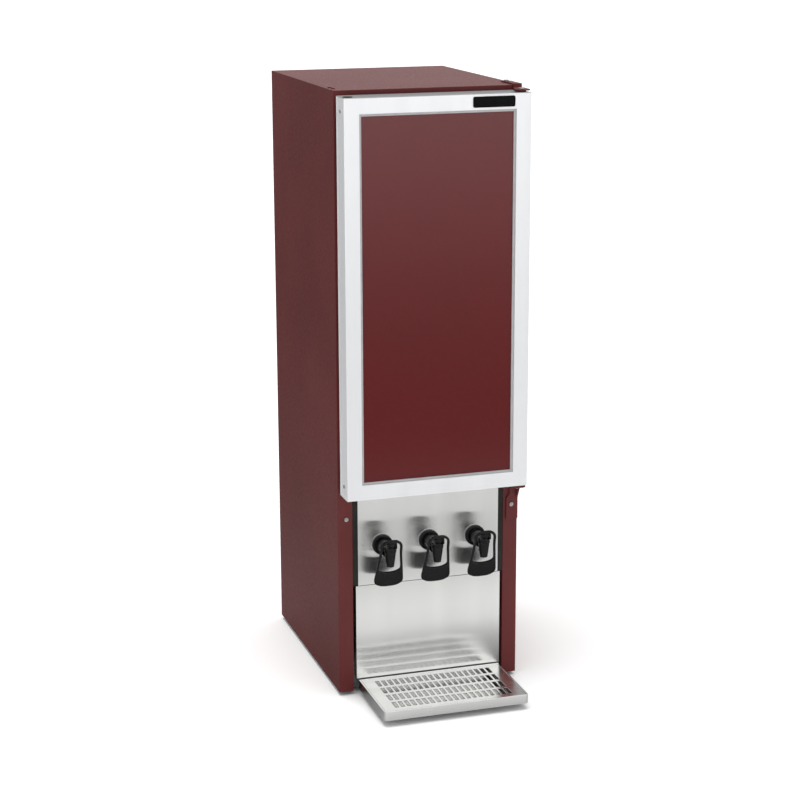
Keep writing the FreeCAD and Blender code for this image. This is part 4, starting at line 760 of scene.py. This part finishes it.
def camera():
    """A long lens from the front left, a little above the object."""
    lens = bpy.data.cameras.new("camera")
    lens.lens = CAMERA_LENS
    lens.sensor_width = 36
    lens.sensor_fit = "HORIZONTAL"
    lens.clip_end = 200
    holder = bpy.data.objects.new("camera", lens)
    turn = (CAMERA_AIM - CAMERA_PLACE).to_track_quat("-Z", "Y").to_matrix().to_4x4()
    roll = Matrix.Rotation(math.radians(CAMERA_ROLL), 4, "Z")
    holder.matrix_world = Matrix.Translation(CAMERA_PLACE) @ turn @ roll
    bpy.context.scene.collection.objects.link(holder)
    bpy.context.scene.camera = holder


floor()
world()
lamp("key", (0.2, 0.8, -0.9), strength=1.0, softness=110)
lamp("top", (0.08, -0.08, -1), strength=1.65, softness=42)
camera()
bpy.context.scene.view_settings.view_transform = "Standard"


# ---------------------------------------------------------------- sheet metal and mouldings

# Rounds of the CAD pieces' edges, in millimetres.
EDGES = {
    "side_panel_left": 0.5, "side_panel_right": 0.5, "top_panel": 0.5, "base_pan": 0.4,
    "rear_panel": 0.3, "rear_crossbar": 0.5, "breaker_frame": 0.8, "liner": 0.5,
    "hose_well": 0.4, "shelf_ledges": 0.8, "evaporator_plate": 0.4, "thermostat_housing": 0.8,
    "tap_panel": 0.35, "splash_panel": 0.35, "side_trims": 0.8, "door_inner_panel": 0.4,
    "top_hinge_bracket": 0.5, "lower_hinge_bracket": 0.6, "terminal_box": 1.2,
    "door_insert": 0.2, "insert_bead": 0.5, "door_gasket": 0.7,
}
for node, edge in EDGES.items():
    softened(node, edge)

ROUNDS = {
    "feet": 1.0, "cable_gland": 0.4, "hole_plugs": 0.4, "hinge_pins": 0.5, "door_bushes": 0.4,
    "door_plugs": 0.4, "lever_pins": 0.4, "stem_seals": 0.25, "tap_washers": 0.25,
    "compressor_grommets": 1.5, "filter_drier": 1.5,
}
for node, edge in ROUNDS.items():
    made_round(node, edge)
for node in ("shelf_lower", "shelf_upper"):
    made_round(node, 1.0, sides=14)


# ---------------------------------------------------------------- screws

def screw_item():
    """A cross-head screw of radius 1 and head height 1, with its shank below."""
    arm, reach = 0.13, 0.55
    cross = [(arm, arm), (reach, arm), (reach, -arm), (arm, -arm), (arm, -reach), (-arm, -reach),
             (-arm, -arm), (-reach, -arm), (-reach, arm), (-arm, arm), (-arm, reach), (arm, reach)]
    shank = [(-2.5, 0), (-2.5, 0.4), (0.05, 0.4), (0.05, 0.8), (0.35, 0.8), (0.35, 0)]
    bm = bmesh.new()
    add(bm, sheet([circle(0, 0, 1, 24), rounded(cross, 0.05, 2)], 1, 0.3, 3))
    turned(bm, Matrix(), shank, 16)
    bmesh.ops.recalc_face_normals(bm, faces=bm.faces)
    return as_mesh("screw", bm)


def screws(node):
    """Cross-head screws in the places of a CAD node's plain ones, each as wide and high."""
    places = []
    model = merged(node)
    for group in islands(model):
        axis, centre, outer, inner = round_outline(group)
        low, high = max(outer, key=lambda slant: slant[0][1])
        towards = 1 if low[0] > outer[0][0][0] else -1
        at = Vector(centre)
        at[axis] += (low if towards > 0 else high)[0]
        way = Vector([towards * (k == axis) for k in range(3)])
        places.append((at, way, (low[1], low[1], high[0] - low[0])))
    bm = bmesh.new()
    add(bm, repeated(screw_item(), places, slot_of_node[node]))
    remade(node, bm)


screws("cabinet_screws")
screws("door_screws")


# ---------------------------------------------------------------- door

(DOOR_LEFT, DOOR_FACE, DOOR_FOOT), (DOOR_RIGHT, DOOR_BACK, DOOR_TOP) = extent(
    "door_stile_left", "door_stile_right")
DOOR_MIDDLE = (DOOR_FOOT + DOOR_TOP) / 2
CORNERS = {"left_foot": (DOOR_LEFT, DOOR_FOOT), "right_foot": (DOOR_RIGHT, DOOR_FOOT),
           "right_top": (DOOR_RIGHT, DOOR_TOP), "left_top": (DOOR_LEFT, DOOR_TOP)}
STILE = 23.0
LIP_REACH, LIP_FLARE, LIP_WALL = 8.0, 0.9, 2.0


def frame_profile():
    """Points (inset, depth) round the extrusion: its face, its side, a groove and a flared lip."""
    depth = DOOR_BACK - DOOR_FACE
    points = [(0, 0), (STILE, 0), (STILE, depth), (LIP_WALL + 0.6, depth),
              (LIP_WALL - LIP_FLARE, depth + LIP_REACH), (-LIP_FLARE, depth + LIP_REACH),
              (-0.1, depth + 0.4), (0.5, depth + 0.1), (0.5, depth - 0.7), (0, depth - 1)]
    return rounded(points, [0.4, 0.4, 0.4, 0.5, 0.4, 0.6, 0.2, 0.2, 0.2, 0.2], 2)


def frame_member(node, start, end):
    """One side of the door's frame, mitred at both of its corners.

    The lip flares out at the head and foot, and in at the sides: copysign drops inset's sign."""
    bm = bmesh.new()
    loops = []
    for x, z in (CORNERS[start], CORNERS[end]):
        loops.append([(x - math.copysign(inset, x), DOOR_FACE + depth,
                       z + (inset if z < DOOR_MIDDLE else -inset))
                      for inset, depth in frame_profile()])
    stacked(bm, loops)
    remade(node, bm)


frame_member("door_stile_left", "left_foot", "left_top")
frame_member("door_stile_right", "right_foot", "right_top")
frame_member("door_rail_top", "left_top", "right_top")
frame_member("door_rail_foot", "left_foot", "right_foot")


def badge():
    """A bare black plate with a raised rim."""
    (left, front, low), (right, back, high) = extent("badge_plate")
    thickness, rim, gap = back - front, 1.3, 0.5
    outline = oblong(left, low, right, high, 3)
    opening = oblong(left + rim, low + rim, right - rim, high - rim, 2)
    inner = oblong(left + gap, low + gap, right - gap, high - gap, 2.6)
    bm = bmesh.new()
    add(bm, sheet([outline, opening], thickness, 0.4), facing(y=back))
    add(bm, sheet([inner], thickness / 2, 0.1), facing(y=back))
    remade("badge_plate", bm)


badge()


# ---------------------------------------------------------------- taps

TAPS = {number: middle(f"tap_body_{number}")[0] for number in (1, 2, 3)}
WASHER_FACE, TAP_Z = extent("tap_washers")[0][1], middle("tap_washers")[2]
SPOUT_Y = middle("tap_plunger_2")[1]
PIVOT_Y, PIVOT_Z = middle("lever_pins")[1:]

# Outlines of the round parts, as (height, radius): the flange and barrel from the washer to the
# front, the spout from its bonnet down.
FLANGE = [(0, 10), (0, 15.6), (0.4, 16), (1.6, 16), (1.9, 15.5), (2.2, 15.5), (2.5, 15.9), (3.6, 15.9),
          (4.2, 15.2), (4.6, 14.2), (4.8, 13.2), (4.3, 12.6), (4.4, 12.0), (6.0, 11.6), (7.6, 11.2),
          (9, 11), (34, 11), (34, 10)]
BONNET = 9.5
SPOUT = [(0, 5.6), (0, 7.8), (-0.5, 8.8), (-1.6, 9.4), (-8.4, 9.5), (-9.2, 9.3), (-9.6, 8.8),
         (-10.4, 8.7), (-20, 7.6), (-31.6, 5.9), (-32, 5.6), (-32, 3.8), (-31.6, 3.6), (-17.5, 3.6),
         (-17.5, 5.6)]
SHANK_END, SPIGOT_END = 40.0, 58.0
THREAD, THREAD_CREST, THREAD_ROOT = 2.0, 9.9, 9.1
SPIGOT, SPIGOT_TIP = 4.2, 3.9
BARB, BARB_PITCH = 0.75, 5.0

# The ears that hold the lever's pin, as (y, z) from the pin.
EAR = [(-3.4, -5), (-3.4, 3.4), (3.4, 3.4), (5.8, -3.2), (5.8, -7), (-0.5, -7)]
EAR_ROUNDS = [1.5, 3.2, 3.2, 1, 1, 1.5]
EAR_INNER, EAR_OUTER = 5.0, 8.0


def shank_outline():
    """The threaded shank behind the flange and the hose spigot at its end."""
    outline = [(0, 0), (0, THREAD_CREST)]
    height = 0.0
    while height + THREAD <= SHANK_END:
        outline += [(height + THREAD * 0.2, THREAD_CREST), (height + THREAD * 0.5, THREAD_ROOT),
                    (height + THREAD * 0.7, THREAD_ROOT), (height + THREAD, THREAD_CREST)]
        height += THREAD
    outline.append((SHANK_END, SPIGOT))
    for barb in (1, 2):
        foot = SHANK_END + BARB_PITCH * barb
        outline += [(foot, SPIGOT), (foot, SPIGOT + BARB)]
    return outline + [(SPIGOT_END, SPIGOT_TIP), (SPIGOT_END, 0)]


def tap_body(number, x):
    """A ridged flange on its barrel, a tapering spout under its bonnet, and the lever's two ears."""
    bm = bmesh.new()
    turned(bm, pointing((0, -1, 0), (x, WASHER_FACE, TAP_Z)), FLANGE, 48)
    turned(bm, pointing((0, 0, 1), (x, SPOUT_Y, TAP_Z + BONNET)), rounded(SPOUT, 0.25, 2), 40)
    turned(bm, pointing((0, 1, 0), (x, WASHER_FACE, TAP_Z)), shank_outline(), 32)
    for low in (-EAR_OUTER, EAR_INNER):
        ear = sheet([rounded(EAR, EAR_ROUNDS, 5)], EAR_OUTER - EAR_INNER, 0.6)
        add(bm, ear, sideways(x + low, PIVOT_Y, PIVOT_Z))
    remade(f"tap_body_{number}", bm)


# The lever's flat outlines from the pin, as (x, z) along its slope, each of them half of a loop.
LEVER_TILT = 16.0
LEVER_THICK, PADDLE_THICK = 4.0, 2.2
LEVER_OUTER = [(8.5, 8.8), (16, 3), (17.5, -3), (17.5, -14), (23, -62), (21.8, -68), (13.8, -72.3),
               (6.9, -73.5)]
LEVER_WINDOW = [(7.2, 4.8), (12.4, 0.8), (13.8, -4), (13.9, -14), (17.3, -43.4), (9.5, -47.2),
                (3.5, -48)]
LEVER_PANEL = [(3.5, -50.6), (9.6, -49.9), (17.4, -46.2), (19.6, -61.8), (18.4, -66.2),
               (12.6, -69.4), (6.4, -70.6)]
PADDLE_Z, PADDLE_WIDER, PADDLE_HIGHER = -60, 1.05, 1.08

# The lug round the pin and the two tines behind it, as (y, z) from the pin.
LUG = [(-3.2, 0.6), (-3.2, 6.2), (3.1, 6.2), (3.6, 1.4), (3.6, -2.6), (0, -3.2), (-2.2, -2.2)]
LUG_HALF = 4.6
TINE = [(1.5, 1.2), (10.1, 1.2), (10.1, -2.8), (1.5, -2.8)]
TINE_THICK = 2.6


def tap_lever(number, x):
    """A tilted loop with a rim round its sunk paddle, and a lug with two tines on the pin."""
    outer, window, panel = (rounded(mirror(half), 7, 5)
                            for half in (LEVER_OUTER, LEVER_WINDOW, LEVER_PANEL))
    paddle = [Vector((px * PADDLE_WIDER, PADDLE_Z + (pz - PADDLE_Z) * PADDLE_HIGHER))
              for px, pz in panel]
    place = facing(x, PIVOT_Y, PIVOT_Z, LEVER_TILT)
    bm = bmesh.new()
    add(bm, sheet([outer, window, panel], LEVER_THICK, 1.1, 3), place @ upright(z=-LEVER_THICK / 2))
    add(bm, sheet([paddle], PADDLE_THICK, 0.2), place @ upright(z=-PADDLE_THICK / 2))
    add(bm, sheet([rounded(LUG, 1.4, 3)], LUG_HALF * 2, 0.6),
        sideways(x - LUG_HALF, PIVOT_Y, PIVOT_Z))
    for low in (-LUG_HALF, LUG_HALF - TINE_THICK):
        add(bm, sheet([rounded(TINE, 1.2, 3)], TINE_THICK, 0.4),
            sideways(x + low, PIVOT_Y, PIVOT_Z))
    remade(f"tap_lever_{number}", bm, 42)


EYE_HALF, EYE_THICK, EYE_HOLE = 2.2, 3.4, 1.1


def tap_plunger(number, x):
    """The valve's plug and stem, with the flat eye between the lever's tines."""
    low, high = extent(f"tap_plunger_{number}")
    foot, eye = low[2], high[2] - EYE_HALF
    stem_end = eye - foot - 1.8
    plug = [(0, 0), (0, 4.2), (0.7, 4.9), (2.6, 4.9), (3.2, 4.4), (3.2, 2), (stem_end, 2), (stem_end, 0)]
    eyelet = [oblong(-EYE_HALF, -EYE_HALF, EYE_HALF, EYE_HALF, 1.6), circle(0, 0, EYE_HOLE, 16)]
    bm = bmesh.new()
    turned(bm, pointing((0, 0, 1), (x, SPOUT_Y, foot)), plug, 24)
    add(bm, sheet(eyelet, EYE_THICK, 0.3), sideways(x - EYE_THICK / 2, SPOUT_Y, eye))
    remade(f"tap_plunger_{number}", bm)


for number, x in TAPS.items():
    tap_body(number, x)
    tap_lever(number, x)
    tap_plunger(number, x)


NUT, NUT_BORE = 16.4, 10


def tap_nuts():
    """A hexagon nut on each shank, behind the tap panel."""
    front, back = (corner[1] for corner in extent("tap_nuts"))
    loops = [rounded(circle(0, 0, NUT, 6), 1.5, 3), circle(0, 0, NUT_BORE)]
    bm = bmesh.new()
    for x in TAPS.values():
        add(bm, sheet(loops, back - front, 0.7), facing(x, back, TAP_Z))
    remade("tap_nuts", bm)


tap_nuts()


# ---------------------------------------------------------------- drip tray

(TRAY_LEFT, TRAY_FRONT, TRAY_FOOT), (TRAY_RIGHT, TONGUE_END, TRAY_TOP) = extent("drip_tray")
TRAY_BACK = extent("tap_panel")[0][1] - 3
TRAY_WALL, TRAY_RIM = 1.2, 3.0
FRONT_CORNER, REAR_CORNER = 6.0, 1.5
TONGUE_X, TONGUE_HALF = 80.0, 10.0

# The tray's section from its underside up the wall, over the rim and down to its floor, as the
# inset from its outline and the height.
TRAY_SECTION = [(0.6, TRAY_FOOT), (0.15, TRAY_FOOT + 0.2), (0, TRAY_FOOT + 0.6), (0, TRAY_TOP - 0.7),
                (0.2, TRAY_TOP - 0.2), (0.7, TRAY_TOP), (TRAY_RIM - 0.3, TRAY_TOP),
                (TRAY_RIM, TRAY_TOP - 0.3), (TRAY_RIM, TRAY_TOP - 1.0),
                (TRAY_RIM - 0.2, TRAY_TOP - TRAY_WALL), (TRAY_WALL, TRAY_TOP - TRAY_WALL),
                (TRAY_WALL, TRAY_FOOT + 1.8), (1.8, TRAY_FOOT + TRAY_WALL)]


def tray_loop(inset, z):
    """The tray's outline pulled in on every side, with its two front corners rounder."""
    near, far = max(FRONT_CORNER - inset, 1.0), max(REAR_CORNER - inset, 0.5)
    left, right = TRAY_LEFT + inset, TRAY_RIGHT - inset
    front, back = TRAY_FRONT + inset, TRAY_BACK - inset
    loop = rounded([(left, front), (right, front), (right, back), (left, back)],
                   [near, near, far, far], 5)
    return [(x, y, z) for x, y in loop]


def drip_tray():
    """A folded tray with a rolled rim, and two tongues behind it."""
    bm = bmesh.new()
    stacked(bm, [tray_loop(inset, z) for inset, z in TRAY_SECTION])
    for x in (-TONGUE_X, TONGUE_X):
        tongue = oblong(x - TONGUE_HALF, TRAY_BACK - 2, x + TONGUE_HALF, TONGUE_END, 3)
        add(bm, sheet([tongue], TRAY_WALL, 0.3), upright(z=TRAY_FOOT))
    remade("drip_tray", bm)


GRILLE_SHEET, LEG_INSET = 1.2, 4.0
SLOT_HALF, SLOT_LENGTH, SLOT_ROUND = 3.2, 22.6, 1.6
SLOT_PITCH, SLOT_COLUMNS = 9.5, 20
ROW_PITCH, SLOT_ROWS = 29.0, 4


def drip_grille():
    """A slotted sheet on two folded legs, inside the tray's rim."""
    (left, front, foot), (right, back, top) = extent("drip_grille")
    loops = [oblong(left, front, right, back, 2)]
    for column in range(SLOT_COLUMNS):
        x = SLOT_PITCH * (column - (SLOT_COLUMNS - 1) / 2)
        for row in range(SLOT_ROWS):
            y = (front + back) / 2 + ROW_PITCH * (row - (SLOT_ROWS - 1) / 2)
            loops.append(oblong(x - SLOT_HALF, y - SLOT_LENGTH / 2, x + SLOT_HALF,
                                y + SLOT_LENGTH / 2, SLOT_ROUND, 3))
    bm = bmesh.new()
    add(bm, sheet(loops, GRILLE_SHEET, 0.25, 1), upright(z=top - GRILLE_SHEET))
    leg = oblong(left + LEG_INSET, foot + 0.1, right - LEG_INSET, top - 0.6, 1)
    for y in (front + GRILLE_SHEET, back):
        add(bm, sheet([leg], GRILLE_SHEET, 0.3), facing(y=y))
    remade("drip_grille", bm)


drip_tray()
drip_grille()


# ---------------------------------------------------------------- cooling machine

COMPRESSOR_Y, COMPRESSOR_FOOT = middle("compressor")[1], extent("compressor")[0][2]
# The shell's outline as (height, radius), with the round at each of its corners.
SHELL = [(0.5, 0), (0.5, 57), (5, 62), (66, 62), (67, 63.2), (71, 63.2), (72, 62), (92, 62), (116, 51),
         (127, 40), (132, 22), (132, 0)]
SHELL_ROUNDS = [0, 3, 5, 0.8, 0.8, 0.8, 0.8, 14, 10, 7, 8, 0]
PLATE_X, PLATE_Y, PLATE_THICK, PLATE_CORNER = 86, 52, 3, 12
PLATE_HOLE_X, PLATE_HOLE_Y, PLATE_HOLE = 73, 39, 4
STUB = [(110, 0), (110, 3.4), (146, 3.4), (148, 4.4), (154, 4.4), (154, 2.8), (120, 2.8), (120, 0)]
STUB_ROUNDS = [0, 0, 0.8, 0.8, 0.4, 0.4, 0, 0]
STUB_X, STUB_BACK = 21.7, 24.8


def compressor():
    """A domed shell with its weld seam on a pressed base plate, and two pipe stubs."""
    foot = upright(0, COMPRESSOR_Y, COMPRESSOR_FOOT)
    plate = [oblong(-PLATE_X, -PLATE_Y, PLATE_X, PLATE_Y, PLATE_CORNER)]
    plate += [circle(x, y, PLATE_HOLE, 20) for x in (-PLATE_HOLE_X, PLATE_HOLE_X)
              for y in (-PLATE_HOLE_Y, PLATE_HOLE_Y)]
    bm = bmesh.new()
    turned(bm, foot, rounded(SHELL, SHELL_ROUNDS, 5), 64)
    add(bm, sheet(plate, PLATE_THICK, 0.7), foot)
    for x in (-STUB_X, STUB_X):
        turned(bm, foot @ upright(x, STUB_BACK), rounded(STUB, STUB_ROUNDS, 3), 20)
    remade("compressor", bm, 40)


WIRE_FOOT, WIRE_HEAD = (corner[2] for corner in extent("condenser"))
CONDENSER_Y, CONDENSER_HALF, TUBE = 235.5, 98.0, 2.45
RUNS, RUN_INSET, BEND_STEPS = 14, 12.0, 10
RUN_PITCH = (WIRE_HEAD - WIRE_FOOT - RUN_INSET * 2) / (RUNS - 1)
WIRES, WIRE_HALF, WIRE, WIRE_OFF = 14, 65.0, 0.7, 3.2
CLIP_X, CLIP_Y, CLIP_HEIGHTS = 69.5, 233.0, (505.0, 790.0)
CLIP_HALF, CLIP_REACH = 6, 10.4


def serpentine():
    """The tube's path: level runs joined by half-round bends."""
    bend = RUN_PITCH / 2
    straight = CONDENSER_HALF - bend
    path = []
    for run in range(RUNS):
        hand = 1 if run % 2 else -1
        z = WIRE_FOOT + RUN_INSET + RUN_PITCH * run
        path += [Vector((x, CONDENSER_Y, z)) for x in (straight * hand, -straight * hand)]
        if run == RUNS - 1:
            return path
        for step in range(1, BEND_STEPS):
            turn = math.pi * step / BEND_STEPS
            path.append(Vector((-(straight + bend * math.sin(turn)) * hand, CONDENSER_Y,
                                z + bend * (1 - math.cos(turn)))))


def condenser():
    """A serpentine tube with round bends, wires welded to both of its faces, and four clips."""
    bm = bmesh.new()
    tube(bm, serpentine(), TUBE, (0, 1, 0), 14)
    length = WIRE_HEAD - WIRE_FOOT
    wire = bmesh.new()
    turned(wire, Matrix(), [(0, 0), (0, 0.45), (0.25, WIRE), (length - 0.25, WIRE), (length, 0.45),
                            (length, 0)], 10)
    bmesh.ops.recalc_face_normals(wire, faces=wire.faces)
    places = [((WIRE_HALF * (2 * i / (WIRES - 1) - 1), CONDENSER_Y + off, WIRE_FOOT),
               (0, 0, 1), (1, 1, 1)) for i in range(WIRES) for off in (-WIRE_OFF, WIRE_OFF)]
    add(bm, repeated(as_mesh("wire", wire), places, slot_of_node["condenser"]))
    clip = oblong(-CLIP_HALF, -CLIP_HALF, CLIP_HALF, CLIP_HALF, 2)
    for x in (-CLIP_X, CLIP_X):
        for z in CLIP_HEIGHTS:
            add(bm, sheet([clip], CLIP_REACH, 0.6), facing(x, CLIP_Y, z))
    remade("condenser", bm)


compressor()
condenser()


FLUTES, FLUTE_RADIUS, FLUTE_DEPTH, FLUTE_SIDES = 18, 11.8, 0.5, 144
SKIRT, POINTER_X, POINTER_Y = 15, 13, 2
SKIRT_THICK, GRIP_THICK, POINTER_THICK = 3, 6.2, 9.2


def knob():
    """A fluted knob with a skirt and a pointer ridge, on the housing's side."""
    _, y, z = middle("thermostat_knob")
    place = pointing((-1, 0, 0), (extent("thermostat_knob")[1][0], y, z))
    flutes = []
    for turn in full_turn(FLUTE_SIDES):
        radius = FLUTE_RADIUS + FLUTE_DEPTH * math.cos(FLUTES * turn)
        flutes.append(Vector((radius * math.cos(turn), radius * math.sin(turn))))
    pointer = oblong(-POINTER_X, -POINTER_Y, POINTER_X, POINTER_Y, 1.8)
    bm = bmesh.new()
    add(bm, sheet([circle(0, 0, SKIRT, 48)], SKIRT_THICK, 0.9, 3), place)
    add(bm, sheet([flutes], GRIP_THICK, 0.7, 3), place @ upright(z=SKIRT_THICK - 0.5))
    add(bm, sheet([pointer], POINTER_THICK, 0.9, 3), place @ upright(z=SKIRT_THICK - 0.2))
    remade("thermostat_knob", bm)


knob()
